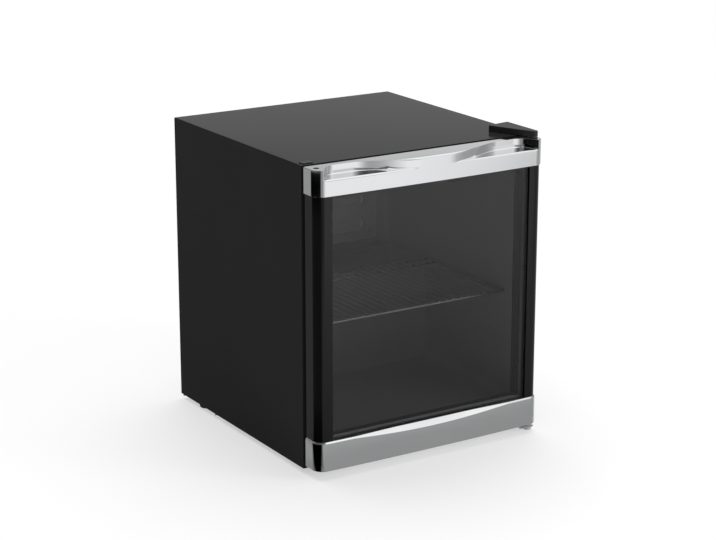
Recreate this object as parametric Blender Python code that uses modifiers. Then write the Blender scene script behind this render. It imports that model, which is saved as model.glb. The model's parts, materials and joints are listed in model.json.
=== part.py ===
"""Compact beverage refrigerator with a glass door, modelled piece by piece in metres, +Z up.

The front faces -Y. The origin is on the floor, under the middle of the object's box. Inside this file
every place is given from the cabinet: x from its middle, y from its front plane, z from its bottom edge.
"""

from math import cos, pi, sin, sqrt

import bmesh
import bpy
from mathutils import Matrix, Vector

# Cabinet
CABINET_WIDTH = 0.430
CABINET_DEPTH = 0.420
CABINET_HEIGHT = 0.493
FOOT_HEIGHT = 0.0085
SHEET = 0.0008
CLEARANCE = 0.0003
SIDE_INSULATION = 0.025
TOP_INSULATION = 0.036
FLOOR_INSULATION = 0.042
BACK_INSULATION = 0.044
LINER_WALL = 0.002
LINER_RADIUS = 0.012
LINER_FLANGE = 0.008

# Step in the liner over the compressor
HUMP_DEPTH = 0.162
HUMP_HEIGHT = 0.226
HUMP_INSULATION = 0.028

# Shelf and what hangs inside the cabinet
SHELF_FRONT = 0.020
SHELF_SIDE_GAP = 0.003
SHELF_BACK_GAP = 0.007
SHELF_THICKNESS = 0.004
SHELF_LEVEL = 0.227
SHELF_PITCH = 0.016
SHELF_BAR = 0.004
LEDGE_WIDTH = 0.012
LEDGE_HEIGHT = 0.008
EVAPORATOR_SIDE_GAP = 0.040
EVAPORATOR_THICKNESS = 0.002
EVAPORATOR_STAND_OFF = 0.018
EVAPORATOR_RISE = 0.019
EVAPORATOR_DROP = 0.017
TRAY_WALL = 0.002
DRIP_TRAY_SIDE_GAP = 0.030
DRIP_TRAY_DEPTH = 0.035
DRIP_TRAY_HEIGHT = 0.012
THERMOSTAT_DEPTH = 0.026
THERMOSTAT_LENGTH = 0.080
THERMOSTAT_HEIGHT = 0.055
THERMOSTAT_Y = 0.190
THERMOSTAT_DROP = 0.043
KNOB_RADIUS = 0.016
KNOB_HEIGHT = 0.013
KNOB_SHAFT = 0.003
SHAFT_REACH = 0.008

# Compressor niche
PLATE_THICKNESS = 0.0015
PLATE_FLANGE = 0.004
PLATE_FRONT_GAP = 0.011
PLATE_BACK_GAP = 0.005
COMPRESSOR_X = -0.030
COMPRESSOR_LENGTH = 0.144
COMPRESSOR_DEPTH = 0.104
COMPRESSOR_HEIGHT = 0.131
COMPRESSOR_EDGE = 0.028
GROMMET_RADIUS = 0.010
GROMMET_HEIGHT = 0.0137
BASE_MARGIN = 0.013
BASE_THICKNESS = 0.003
RELAY_SIZE = (0.040, 0.044, 0.060)
RELAY_LEVEL = 0.055
EVAPORATION_TRAY_SIZE = (0.120, 0.088, 0.023)
DRAIN_RADIUS = 0.006
DRAIN_BORE = 0.0045
DRAIN_DROP = 0.030
PIPE_RADIUS = 0.004
DISCHARGE_RADIUS = 0.003
CAPILLARY_RADIUS = 0.0012
PIPE_LEVEL = 0.100
PIPE_BEND = 0.014
DRIER_RADIUS = 0.008
DRIER_LENGTH = 0.090
DRIER_LEVEL = 0.062
DRIER_INSET = 0.018
GLAND_X = 0.110
GLAND_LEVEL = 0.028
GLAND_RADIUS = 0.0075
GLAND_FLANGE = 0.0105
GLAND_BORE = 0.0037
GLAND_REACH = 0.005
BRACKET_WIDTH = 0.030
BRACKET_HEIGHT = 0.043

# Condenser on the back
CONDENSER_REACH = 0.020
CONDENSER_WIRE = 0.002
CONDENSER_WIRE_PITCH = 0.012
COIL_RADIUS = 0.0025
COIL_RUNS = 9
COIL_SIDE_GAP = 0.035
COIL_BELOW_TOP = 0.031
COIL_ABOVE_NICHE = 0.022
RISER_GAP = 0.015
CLIP_WIDTH = 0.012
CLIP_SIDE_GAP = 0.095

# Feet
REAR_FOOT_RADIUS = 0.014
REAR_FOOT_INSET = 0.003
LEVELLER_RADIUS = 0.007
LEVELLER_STUD = 0.003
LEVELLER_STUD_TOP = 0.003
LEFT_LEVELLER_INSET = 0.030
LEFT_LEVELLER_Y = 0.030
RIGHT_LEVELLER_INSET = 0.0085
RIGHT_LEVELLER_AHEAD = 0.008

# Door
DOOR_GAP = 0.007
DOOR_DEPTH = 0.039
DOOR_BOW = 0.003
DOOR_BOTTOM = 0.0065
DOOR_TOP_GAP = 0.0005
DOOR_CORNER = 0.0186
FRAME_INSET = 0.002
STILE_WIDTH = 0.027
HANDLE_HEIGHT = 0.0420
BAND_HEIGHT = 0.025
BOTTOM_TRIM_HEIGHT = 0.0485
GLASS_RECESS = 0.003
GLASS_THICKNESS = 0.004
GLASS_OVERLAP = 0.004
GLASS_GAP = 0.0114
SPACER_WIDTH = 0.010
BEAD_WIDTH = 0.010
BACK_PLATE = 0.004
BACK_PLATE_INSET = 0.006
TRIM_WALL = 0.003
TRIM_FRONT_WALL = 0.008
GASKET_OUTER_INSET = 0.015
GASKET_WIDTH = 0.012
GASKET_DROP = 0.020

# Finger pockets of the handle
POCKET_DEPTH = 0.027
POCKET_MIDDLE_INSET = 0.050
POCKET_END_INSET = 0.0065
POCKET_START_INSET = 0.170
TROUGH_DEPTH = 0.012
RIM = 0.004
LENS_DROP = 0.0095
LENS_INSET = 0.075

# Hinges
HINGE_INSET = 0.0075
HINGE_AHEAD = 0.012
PIN_RADIUS = 0.0025
PIN_DEPTH = 0.012
BUSH_RADIUS = 0.0045
BUSH_BORE = 0.0029
COLLAR_RADIUS = 0.0045
HINGE_PLATE = 0.003
COVER_HEIGHT = 0.010
COVER_WALL = 0.002
COVER_SIDE_GAP = 0.001
COVER_FRONT_WIDTH = 0.009
COVER_BACK_WIDTH = 0.044
COVER_REACH = 0.009
COVER_LEFT_LENGTH = 0.050
COVER_RIGHT_LENGTH = 0.057
LOWER_PLATE_WIDTH = 0.026
LOWER_PLATE_REACH = 0.0155
LOWER_PLATE_BACK = 0.060
LOWER_PLATE_SIDE_GAP = 0.002
PLUG_LENGTH = 0.020
PLUG_WIDTH = 0.014
PLUG_THICKNESS = 0.001

# Places that follow from the sizes above
HALF_WIDTH = CABINET_WIDTH / 2
INNER_HALF = HALF_WIDTH - SIDE_INSULATION
CEILING = CABINET_HEIGHT - TOP_INSULATION
FLOOR = FLOOR_INSULATION
BACK_WALL = CABINET_DEPTH - BACK_INSULATION
HUMP_FRONT = CABINET_DEPTH - HUMP_DEPTH
HUMP_TOP = HUMP_HEIGHT
NICHE_FRONT = HUMP_FRONT + HUMP_INSULATION
NICHE_ROOF = HUMP_TOP - HUMP_INSULATION
LINER_FRONT = SHEET + CLEARANCE
WRAP_HALF = HALF_WIDTH - SHEET - CLEARANCE
PLATE_FRONT = NICHE_FRONT + PLATE_FRONT_GAP
PLATE_BACK = CABINET_DEPTH - PLATE_BACK_GAP
COMPRESSOR_Y = (PLATE_FRONT + PLATE_BACK) / 2
BASE_LEVEL = PLATE_THICKNESS + GROMMET_HEIGHT + 2 * CLEARANCE
COMPRESSOR_LEVEL = BASE_LEVEL + BASE_THICKNESS + CLEARANCE
COMPRESSOR_TOP = COMPRESSOR_LEVEL + COMPRESSOR_HEIGHT
DOOR_BACK = -DOOR_GAP
DOOR_FRONT = DOOR_BACK - DOOR_DEPTH
DOOR_TOP = CABINET_HEIGHT - DOOR_TOP_GAP
HINGE_X = HALF_WIDTH - HINGE_INSET
HINGE_Y = DOOR_BACK - HINGE_AHEAD
RIGHT_LEVELLER_Y = HINGE_Y - RIGHT_LEVELLER_AHEAD
LOWER_PLATE_FRONT = HINGE_Y - LOWER_PLATE_REACH
COVER_FRONT = HINGE_Y - COVER_REACH
COVER_RIGHT = HALF_WIDTH - COVER_SIDE_GAP
COVER_CORNERS = (
    (COVER_RIGHT - COVER_BACK_WIDTH, COVER_LEFT_LENGTH),
    (COVER_RIGHT - COVER_FRONT_WIDTH, COVER_FRONT),
    (COVER_RIGHT, COVER_FRONT),
    (COVER_RIGHT, COVER_RIGHT_LENGTH),
)
POCKET_MIDDLE = HALF_WIDTH - POCKET_MIDDLE_INSET
POCKET_END = HALF_WIDTH - POCKET_END_INSET
POCKET_START = HALF_WIDTH - POCKET_START_INSET
LENS_HALF_LENGTH = HALF_WIDTH - LENS_INSET
HANDLE_BOTTOM = DOOR_TOP - HANDLE_HEIGHT
BAND_TOP = HANDLE_BOTTOM + BAND_HEIGHT
TRIM_TOP = DOOR_BOTTOM + BOTTOM_TRIM_HEIGHT
STILE_HALF = HALF_WIDTH - FRAME_INSET
STILE_FRONT = DOOR_FRONT + FRAME_INSET
OPENING_HALF = STILE_HALF - STILE_WIDTH
GLASS_HALF = OPENING_HALF + GLASS_OVERLAP
GLASS_FRONT = STILE_FRONT + GLASS_RECESS
GLASS_BACK = GLASS_FRONT + 2 * GLASS_THICKNESS + GLASS_GAP + 2 * CLEARANCE
BEAD_HALF = OPENING_HALF + BEAD_WIDTH
PLATE_HALF = HALF_WIDTH - BACK_PLATE_INSET
PLATE_LINE = DOOR_BACK - BACK_PLATE
DOOR_REACH = DOOR_GAP + DOOR_DEPTH + DOOR_BOW
COIL_Y = CABINET_DEPTH + CONDENSER_REACH - CONDENSER_WIRE - CLEARANCE - COIL_RADIUS
COIL_BOTTOM = NICHE_ROOF + COIL_ABOVE_NICHE
COIL_TOP = CABINET_HEIGHT - COIL_BELOW_TOP
COIL_PITCH = (COIL_TOP - COIL_BOTTOM) / (COIL_RUNS - 1)
COIL_HALF_WIDTH = HALF_WIDTH - COIL_SIDE_GAP
CLIP_X = HALF_WIDTH - CLIP_SIDE_GAP
RISER_X = -COIL_HALF_WIDTH - RISER_GAP
FRONT_Y = (DOOR_REACH - CABINET_DEPTH - CONDENSER_REACH) / 2

# How far a cutter runs past the face that it opens
PAST = 0.004
SIDES = 24
AXIS_TURN = {"X": (pi / 2, 0, pi / 2), "Y": (pi / 2, 0, 0), "Z": (0, 0, 0)}

for old in list(bpy.data.objects):
    bpy.data.objects.remove(old)

parts = bpy.data.collections.new("beverage_refrigerator")
cutters = bpy.data.collections.new("cutters")
for group in (parts, cutters):
    bpy.context.scene.collection.children.link(group)


def finish(name, colour, roughness, metallic=0.0, transmission=0.0):
    """A plain Principled material."""
    material = bpy.data.materials.new(name)
    material.use_nodes = True
    shader = material.node_tree.nodes["Principled BSDF"]
    shader.inputs["Base Color"].default_value = (*colour, 1)
    shader.inputs["Roughness"].default_value = roughness
    shader.inputs["Metallic"].default_value = metallic
    shader.inputs["Transmission Weight"].default_value = transmission
    return material


BLACK_STEEL = finish("black_steel", (0.018, 0.018, 0.019), 0.42)
BLACK_PLASTIC = finish("black_plastic", (0.02, 0.02, 0.02), 0.5)
BLACK_GLOSS = finish("black_gloss", (0.012, 0.012, 0.013), 0.15)
LINER_PLASTIC = finish("liner_plastic", (0.06, 0.06, 0.065), 0.45)
FOAM = finish("foam", (0.75, 0.66, 0.42), 0.9)
ZINC = finish("zinc", (0.62, 0.63, 0.65), 0.4, 1.0)
CHROME = finish("chrome", (0.86, 0.87, 0.88), 0.06, 1.0)
ALUMINIUM = finish("aluminium", (0.75, 0.76, 0.78), 0.38, 1.0)
COPPER = finish("copper", (0.72, 0.36, 0.22), 0.35, 1.0)
COMPRESSOR_BLACK = finish("compressor_black", (0.015, 0.015, 0.015), 0.3)
CONDENSER_BLACK = finish("condenser_black", (0.02, 0.02, 0.02), 0.55)
SMOKED_GLASS = finish("smoked_glass", (0.20, 0.21, 0.22), 0.02, 0.0, 1.0)
SEAL = finish("seal", (0.015, 0.015, 0.015), 0.7)
GREY_PLASTIC = finish("grey_plastic", (0.62, 0.62, 0.62), 0.45)
WHITE_WIRE = finish("shelf_wire", (0.55, 0.56, 0.58), 0.3)


def pivot(name, place, parent=None):
    """An empty that carries one rigid body, standing on the axis that the body moves about."""
    empty = bpy.data.objects.new(name, None)
    empty.location = place
    empty.empty_display_size = 0.03
    parts.objects.link(empty)
    if parent:
        empty.parent = parent
    return empty


CABINET = pivot("cabinet_pivot", (0, FRONT_Y, FOOT_HEIGHT))
DOOR = pivot("door_pivot", (HINGE_X, HINGE_Y, 0), CABINET)
SHELF = pivot("shelf_pivot", (0, SHELF_FRONT, SHELF_LEVEL), CABINET)
KNOB_X = INNER_HALF - CLEARANCE - THERMOSTAT_DEPTH
KNOB_Z = CEILING - THERMOSTAT_DROP
KNOB = pivot("knob_pivot", (KNOB_X, THERMOSTAT_Y, KNOB_Z), CABINET)
LEFT_FOOT_X = -HALF_WIDTH + LEFT_LEVELLER_INSET
RIGHT_FOOT_X = HALF_WIDTH - RIGHT_LEVELLER_INSET
LEFT_FOOT = pivot("left_foot_pivot", (LEFT_FOOT_X, LEFT_LEVELLER_Y, 0), CABINET)
RIGHT_FOOT = pivot("right_foot_pivot", (RIGHT_FOOT_X, RIGHT_LEVELLER_Y, 0), CABINET)


def attach(piece, body):
    """Parents a piece to its body, with its own place still counted from the cabinet."""
    piece.parent = body
    if body is not CABINET:
        piece.matrix_parent_inverse = Matrix.Translation(-body.location)
    return piece


def make(name, mesh, material, body):
    """Turns a mesh into a finished piece of the refrigerator."""
    piece = bpy.data.objects.new(name, mesh)
    mesh.materials.append(material)
    parts.objects.link(piece)
    return attach(piece, body)


def helper(name, mesh):
    """A shape that only cuts or joins, and is never seen."""
    piece = bpy.data.objects.new(name, mesh)
    piece.hide_render = True
    piece.display_type = "WIRE"
    cutters.objects.link(piece)
    return attach(piece, CABINET)


def combine(piece, operation, shapes):
    for shape in shapes:
        step = piece.modifiers.new(shape.name, "BOOLEAN")
        step.operation = operation
        step.object = shape


def cut(piece, *shapes):
    combine(piece, "DIFFERENCE", shapes)


def join(piece, *shapes):
    combine(piece, "UNION", shapes)


def round_edges(piece, width, segments=2):
    step = piece.modifiers.new("rounded_edges", "BEVEL")
    step.width = width
    step.segments = segments
    step.limit_method = "ANGLE"


def mesh_of(name, build):
    """Runs build on an empty bmesh and returns the mesh that it makes."""
    shape = bmesh.new()
    build(shape)
    mesh = bpy.data.meshes.new(name)
    shape.to_mesh(mesh)
    shape.free()
    return mesh


def box_mesh(name, low, high):
    low = Vector(low)
    size = Vector(high) - low

    def build(shape):
        bmesh.ops.create_cube(shape, size=1)
        bmesh.ops.scale(shape, vec=size, verts=shape.verts)
        bmesh.ops.translate(shape, vec=low + size / 2, verts=shape.verts)

    return mesh_of(name, build)


def box(name, low, high, material, body):
    return make(name, box_mesh(name, low, high), material, body)


def box_cutter(name, low, high):
    return helper(name, box_mesh(name, low, high))


def smooth(mesh):
    """Shades a round piece smooth, with its corners kept sharp."""
    mesh.shade_smooth()
    mesh.set_sharp_from_angle(angle=pi / 5)
    return mesh


def rod_mesh(name, radius, low, high, axis="Z", at=(0, 0), squash=1.0):
    """A cylinder along one axis; at is its centre on the two other axes, squash flattens it in Y."""
    turn = Vector((0, 0, 1)).rotation_difference(Vector([axis == letter for letter in "XYZ"]))
    centre = list(at)
    centre.insert("XYZ".index(axis), (low + high) / 2)

    def build(shape):
        bmesh.ops.create_cone(
            shape, cap_ends=True, segments=SIDES, radius1=radius, radius2=radius, depth=high - low
        )
        bmesh.ops.scale(shape, vec=(1, squash, 1), verts=shape.verts)
        bmesh.ops.rotate(shape, matrix=turn.to_matrix(), verts=shape.verts)
        bmesh.ops.translate(shape, vec=centre, verts=shape.verts)

    return smooth(mesh_of(name, build))


def rod_cutter(name, radius, low, high, axis="Z", at=(0, 0)):
    return helper(name, rod_mesh(name, radius, low, high, axis, at))


def turned(name, profile, material, body, at, rotation=(0, 0, 0)):
    """A profile of (radius, height) points, down its outer side, spun about its own Z axis."""
    mesh = bpy.data.meshes.new(name)
    ends = [(i, i + 1) for i in range(len(profile) - 1)]
    mesh.from_pydata([(radius, 0, height) for radius, height in profile], ends, [])
    piece = make(name, mesh, material, body)
    piece.location = at
    piece.rotation_euler = rotation
    spin = piece.modifiers.new("spin", "SCREW")
    spin.steps = spin.render_steps = SIDES
    spin.use_merge_vertices = True
    spin.merge_threshold = 1e-5
    return piece


def ring_profile(outer, bore, low, high):
    return [(outer, high), (outer, low), (bore, low), (bore, high), (outer, high)]


def prism_mesh(name, outlines, low, high, axis="Z"):
    """A flat outline, with any holes after it, extruded along one axis and closed."""
    curve = bpy.data.curves.new(name, "CURVE")
    curve.dimensions = "2D"
    curve.fill_mode = "BOTH"
    curve.extrude = (high - low) / 2
    for outline in outlines:
        spline = curve.splines.new("POLY")
        spline.points.add(len(outline) - 1)
        for point, place in zip(spline.points, outline):
            point.co = (*place, 0, 1)
        spline.use_cyclic_u = True
    guide = bpy.data.objects.new(name, curve)
    guide.rotation_euler = AXIS_TURN[axis]
    guide.location["XYZ".index(axis)] = (low + high) / 2
    bpy.context.scene.collection.objects.link(guide)
    graph = bpy.context.evaluated_depsgraph_get()
    mesh = bpy.data.meshes.new_from_object(guide.evaluated_get(graph))
    mesh.materials.clear()
    shape = bmesh.new()
    shape.from_mesh(mesh)
    bmesh.ops.remove_doubles(shape, verts=shape.verts, dist=1e-6)
    bmesh.ops.recalc_face_normals(shape, faces=shape.faces)
    bmesh.ops.transform(shape, matrix=guide.matrix_world, verts=shape.verts)
    shape.to_mesh(mesh)
    shape.free()
    bpy.data.objects.remove(guide)
    return mesh


def prism(name, outlines, low, high, material, body, axis="Z"):
    return make(name, prism_mesh(name, outlines, low, high, axis), material, body)


def prism_cutter(name, outline, low, high, axis="Z"):
    return helper(name, prism_mesh(name, [outline], low, high, axis))


def rectangle(low, high):
    return [(low[0], low[1]), (high[0], low[1]), (high[0], high[1]), (low[0], high[1])]


def arc(centre, radius, start, end, steps=6):
    """Points on a circular arc between two angles."""
    angles = [start + (end - start) * i / steps for i in range(steps + 1)]
    return [(centre[0] + radius * cos(a), centre[1] + radius * sin(a)) for a in angles]


def span(start, end, steps):
    return [start + (end - start) * i / steps for i in range(steps + 1)]


def inset(corners, distance):
    """A convex outline drawn in by an even distance."""
    count = len(corners)
    middle = Vector((sum(c[0] for c in corners) / count, sum(c[1] for c in corners) / count))
    sides = []
    for i in range(count):
        start = Vector(corners[i])
        along = (Vector(corners[(i + 1) % count]) - start).normalized()
        inward = Vector((-along.y, along.x))
        if inward.dot(middle - start) < 0:
            inward = -inward
        sides.append((start + inward * distance, along))
    drawn = []
    for i in range(count):
        (first, along), (second, other) = sides[i - 1], sides[i]
        turn = along.x * other.y - along.y * other.x
        gap = second - first
        drawn.append(tuple(first + along * ((gap.x * other.y - gap.y * other.x) / turn)))
    return drawn


def sheet(name, path, half_width, thickness, material, body):
    """A folded metal sheet: a path of (y, z) points drawn out along X and given a thickness on its left."""
    mesh = bpy.data.meshes.new(name)
    verts = [(x, y, z) for x in (-half_width, half_width) for y, z in path]
    count = len(path)
    faces = [(i, i + 1, count + i + 1, count + i) for i in range(count - 1)]
    mesh.from_pydata(verts, [], faces)
    piece = make(name, mesh, material, body)
    step = piece.modifiers.new("thickness", "SOLIDIFY")
    step.thickness = thickness
    step.offset = -1
    step.use_even_offset = True
    return piece


def open_tray(name, low, high, wall, material, body):
    """A box without its lid, with walls of an even thickness drawn inwards."""
    mesh = box_mesh(name, low, high)
    shape = bmesh.new()
    shape.from_mesh(mesh)
    lid = [face for face in shape.faces if face.normal.z > 0.5]
    bmesh.ops.delete(shape, geom=lid, context="FACES")
    shape.to_mesh(mesh)
    shape.free()
    piece = make(name, mesh, material, body)
    step = piece.modifiers.new("thickness", "SOLIDIFY")
    step.thickness = wall
    step.offset = -1
    step.use_even_offset = True
    return piece


def bent(points, radius, steps=4):
    """The corners of a pipe's path rounded off, as a pipe bender leaves them."""
    points = [Vector(point) for point in points]
    path = [points[0]]
    for before, corner, after in zip(points, points[1:], points[2:]):
        reach = min(radius, (corner - before).length / 2, (after - corner).length / 2)
        start = corner + (before - corner).normalized() * reach
        end = corner + (after - corner).normalized() * reach
        for t in span(0, 1, steps):
            path.append(start.lerp(corner, t).lerp(corner.lerp(end, t), t))
    return path + [points[-1]]


def pipe(name, path, radius, material, body):
    """A round pipe along a path of points, with closed ends."""
    curve = bpy.data.curves.new(name, "CURVE")
    curve.dimensions = "3D"
    curve.bevel_depth = radius
    curve.bevel_resolution = 2
    curve.use_fill_caps = True
    spline = curve.splines.new("POLY")
    spline.points.add(len(path) - 1)
    for point, place in zip(spline.points, path):
        point.co = (*place, 1)
    curve.materials.append(material)
    piece = bpy.data.objects.new(name, curve)
    parts.objects.link(piece)
    return attach(piece, body)


def outer_wrap():
    """One steel sheet folded over both sides and the top, with a return flange for the door seal."""
    wrap = box(
        "outer_wrap", (-HALF_WIDTH, 0, 0), (HALF_WIDTH, CABINET_DEPTH, CABINET_HEIGHT), BLACK_STEEL, CABINET
    )
    side = HALF_WIDTH - SHEET
    hollow = box_cutter(
        "wrap_hollow", (-side, SHEET, -PAST), (side, CABINET_DEPTH + PAST, CABINET_HEIGHT - SHEET)
    )
    edge = INNER_HALF + LINER_WALL + CLEARANCE
    mouth = box_cutter(
        "wrap_mouth", (-edge, -PAST, -PAST), (edge, SHEET + PAST, CEILING + LINER_WALL + CLEARANCE)
    )
    cut(wrap, hollow, mouth)


def back_panel():
    box(
        "back_panel",
        (-WRAP_HALF, CABINET_DEPTH - SHEET, NICHE_ROOF + SHEET + CLEARANCE),
        (WRAP_HALF, CABINET_DEPTH, CABINET_HEIGHT - SHEET - CLEARANCE),
        BLACK_STEEL,
        CABINET,
    )


def base_panel():
    """The bottom sheet: a front rail, the floor, and the wall and roof of the compressor niche."""
    path = [
        (0, FLOOR - LINER_WALL - CLEARANCE),
        (0, 0),
        (NICHE_FRONT, 0),
        (NICHE_FRONT, NICHE_ROOF),
        (CABINET_DEPTH - SHEET - CLEARANCE, NICHE_ROOF),
    ]
    panel = sheet("base_panel", path, WRAP_HALF, SHEET, BLACK_STEEL, CABINET)
    edge = INNER_HALF + LINER_WALL
    for side in (-1, 1):
        low, high = sorted((side * edge, side * (HALF_WIDTH + PAST)))
        notch = box_cutter(f"base_notch_{side}", (low, -PAST, -PAST), (high, LINER_FRONT, FLOOR))
        cut(panel, notch)
    stud_hole = rod_cutter(
        "base_stud_hole", LEVELLER_STUD + CLEARANCE, -PAST, PAST, "Z", (LEFT_FOOT_X, LEFT_LEVELLER_Y)
    )
    cut(panel, stud_hole)


def liner_profile(grow, front):
    """Side view of the space that the liner holds, grown by a margin, from a front line."""
    return [
        (front, FLOOR - grow),
        (HUMP_FRONT + grow, FLOOR - grow),
        (HUMP_FRONT + grow, HUMP_TOP - grow),
        (BACK_WALL + grow, HUMP_TOP - grow),
        (BACK_WALL + grow, CEILING + grow),
        (front, CEILING + grow),
    ]


def foam():
    """Insulation poured between the wrap, the base panel and the liner."""
    front = LINER_FRONT + LINER_WALL + CLEARANCE
    margin = SHEET + CLEARANCE
    block = box(
        "foam",
        (-HALF_WIDTH + margin, front, margin),
        (HALF_WIDTH - margin, CABINET_DEPTH - margin, CABINET_HEIGHT - margin),
        FOAM,
        CABINET,
    )
    grow = LINER_WALL + CLEARANCE
    half = INNER_HALF + grow
    side_view = liner_profile(grow, -PAST)
    centre = (HUMP_FRONT + LINER_RADIUS, HUMP_TOP - LINER_RADIUS)
    side_view[2:3] = arc(centre, LINER_RADIUS - grow - CLEARANCE, pi, pi / 2, 3)
    room = prism_cutter("foam_room", side_view, -half, half, "X")
    niche = box_cutter(
        "foam_niche",
        (-CABINET_WIDTH, NICHE_FRONT - margin, -PAST),
        (CABINET_WIDTH, CABINET_DEPTH + PAST, NICHE_ROOF + margin),
    )
    pocket = rod_cutter(
        "foam_stud_pocket",
        LEVELLER_RADIUS,
        -PAST,
        LEVELLER_STUD_TOP + PAST,
        "Z",
        (LEFT_FOOT_X, LEFT_LEVELLER_Y),
    )
    cut(block, room, niche, pocket)


def liner():
    """The formed inner shell: open at the front, stepped over the compressor, with two shelf ledges."""
    profile = liner_profile(0, LINER_FRONT)
    mesh = prism_mesh("liner", [profile], -INNER_HALF, INNER_HALF, "X")
    shape = bmesh.new()
    shape.from_mesh(mesh)
    bmesh.ops.dissolve_limit(shape, angle_limit=0.01, verts=shape.verts, edges=shape.edges)
    mouth = [face for face in shape.faces if face.normal.y < -0.9 and face.calc_center_median().y < PAST]
    bmesh.ops.delete(shape, geom=mouth, context="FACES")
    folds = [edge for edge in shape.edges if not edge.is_boundary]
    bmesh.ops.bevel(shape, geom=folds, offset=LINER_RADIUS, segments=3, profile=0.5, affect="EDGES")
    rim = [edge for edge in shape.edges if edge.is_boundary]
    grown = bmesh.ops.extrude_edge_only(shape, edges=rim)["geom"]
    flange = [item for item in grown if isinstance(item, bmesh.types.BMVert)]
    middle = (FLOOR + CEILING) / 2
    stretch_x = 1 + LINER_FLANGE / INNER_HALF
    stretch_z = 1 + LINER_FLANGE / (CEILING - middle)
    for vert in flange:
        vert.co.x *= stretch_x
        vert.co.z = middle + (vert.co.z - middle) * stretch_z
    bmesh.ops.recalc_face_normals(shape, faces=shape.faces)
    lowest = min(shape.faces, key=lambda face: face.calc_center_median().z + face.calc_center_median().y)
    floor = min(
        (face for face in shape.faces if abs(face.normal.z) > 0.9),
        key=lambda face: face.calc_center_median().z,
        default=lowest,
    )
    if floor.normal.z < 0:
        bmesh.ops.reverse_faces(shape, faces=shape.faces)
    shape.to_mesh(mesh)
    shape.free()
    shell = make("liner", mesh, LINER_PLASTIC, CABINET)
    step = shell.modifiers.new("thickness", "SOLIDIFY")
    step.thickness = LINER_WALL
    step.offset = -1
    step.use_even_offset = True
    ledge_top = SHELF_LEVEL - SHELF_THICKNESS - CLEARANCE
    for side in (-1, 1):
        inner, outer = sorted((side * (INNER_HALF - LEDGE_WIDTH), side * (INNER_HALF + LINER_WALL / 2)))
        ledge = box_cutter(
            f"shelf_ledge_{side}",
            (inner, SHELF_FRONT, ledge_top - LEDGE_HEIGHT),
            (outer, HUMP_FRONT - LINER_RADIUS, ledge_top),
        )
        join(shell, ledge)


def shelf():
    """A flat grille of bars that run from front to back, resting on the liner's ledges."""
    half = INNER_HALF - SHELF_SIDE_GAP
    back = HUMP_FRONT - SHELF_BACK_GAP
    count = int((2 * half - SHELF_BAR) / SHELF_PITCH)
    first = -(count - 1) / 2 * SHELF_PITCH
    gap = SHELF_PITCH - SHELF_BAR
    outlines = [rectangle((-half, SHELF_FRONT), (half, back))]
    for i in range(count):
        x = first + i * SHELF_PITCH
        outlines.append(
            rectangle((x - gap / 2, SHELF_FRONT + 2 * SHELF_BAR), (x + gap / 2, back - 2 * SHELF_BAR))
        )
    prism("shelf", outlines, SHELF_LEVEL - SHELF_THICKNESS, SHELF_LEVEL, WHITE_WIRE, SHELF)


def evaporator():
    """The cold plate, held off the back wall by four bosses."""
    half = INNER_HALF - EVAPORATOR_SIDE_GAP
    bottom = HUMP_TOP + EVAPORATOR_RISE
    top = CEILING - EVAPORATOR_DROP
    back = BACK_WALL - EVAPORATOR_STAND_OFF
    plate = box(
        "evaporator_plate",
        (-half, back - EVAPORATOR_THICKNESS, bottom),
        (half, back, top),
        ALUMINIUM,
        CABINET,
    )
    inset_x = half - EVAPORATOR_STAND_OFF
    levels = (bottom + EVAPORATOR_STAND_OFF, top - EVAPORATOR_STAND_OFF)
    for i, (x, z) in enumerate((x, z) for x in (-inset_x, inset_x) for z in levels):
        boss = rod_cutter(
            f"evaporator_boss_{i}",
            EVAPORATOR_STAND_OFF / 3,
            back - EVAPORATOR_THICKNESS / 2,
            BACK_WALL - CLEARANCE,
            "Y",
            (x, z),
        )
        join(plate, boss)


def drip_tray():
    back = BACK_WALL - LINER_RADIUS - CLEARANCE
    half = INNER_HALF - DRIP_TRAY_SIDE_GAP
    open_tray(
        "drip_tray",
        (-half, back - DRIP_TRAY_DEPTH, HUMP_TOP + CLEARANCE),
        (half, back, HUMP_TOP + DRIP_TRAY_HEIGHT),
        TRAY_WALL,
        BLACK_PLASTIC,
        CABINET,
    )


def thermostat():
    """The control on the right wall: a housing, and a knob that turns on its shaft."""
    housing = box(
        "thermostat_housing",
        (KNOB_X, THERMOSTAT_Y - THERMOSTAT_LENGTH / 2, KNOB_Z - THERMOSTAT_HEIGHT / 2),
        (INNER_HALF - CLEARANCE, THERMOSTAT_Y + THERMOSTAT_LENGTH / 2, KNOB_Z + THERMOSTAT_HEIGHT / 2),
        BLACK_PLASTIC,
        CABINET,
    )
    hole = rod_cutter(
        "thermostat_hole",
        KNOB_SHAFT + 2 * CLEARANCE,
        KNOB_X - PAST,
        KNOB_X + SHAFT_REACH + CLEARANCE,
        "X",
        (THERMOSTAT_Y, KNOB_Z),
    )
    cut(housing, hole)
    profile = [
        (0, KNOB_HEIGHT),
        (0.85 * KNOB_RADIUS, KNOB_HEIGHT),
        (KNOB_RADIUS, 0),
        (KNOB_SHAFT, 0),
        (KNOB_SHAFT, -SHAFT_REACH),
        (0, -SHAFT_REACH),
    ]
    knob = turned(
        "thermostat_knob",
        profile,
        GREY_PLASTIC,
        KNOB,
        (KNOB_X - CLEARANCE, THERMOSTAT_Y, KNOB_Z),
        (0, -pi / 2, 0),
    )
    face = KNOB_X - CLEARANCE - KNOB_HEIGHT
    grip = box_cutter(
        "knob_grip",
        (face - KNOB_SHAFT, THERMOSTAT_Y - KNOB_SHAFT / 2, KNOB_Z - KNOB_RADIUS / 4),
        (face + KNOB_HEIGHT / 2, THERMOSTAT_Y + KNOB_SHAFT / 2, KNOB_Z + 0.8 * KNOB_RADIUS),
    )
    join(knob, grip)


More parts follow.
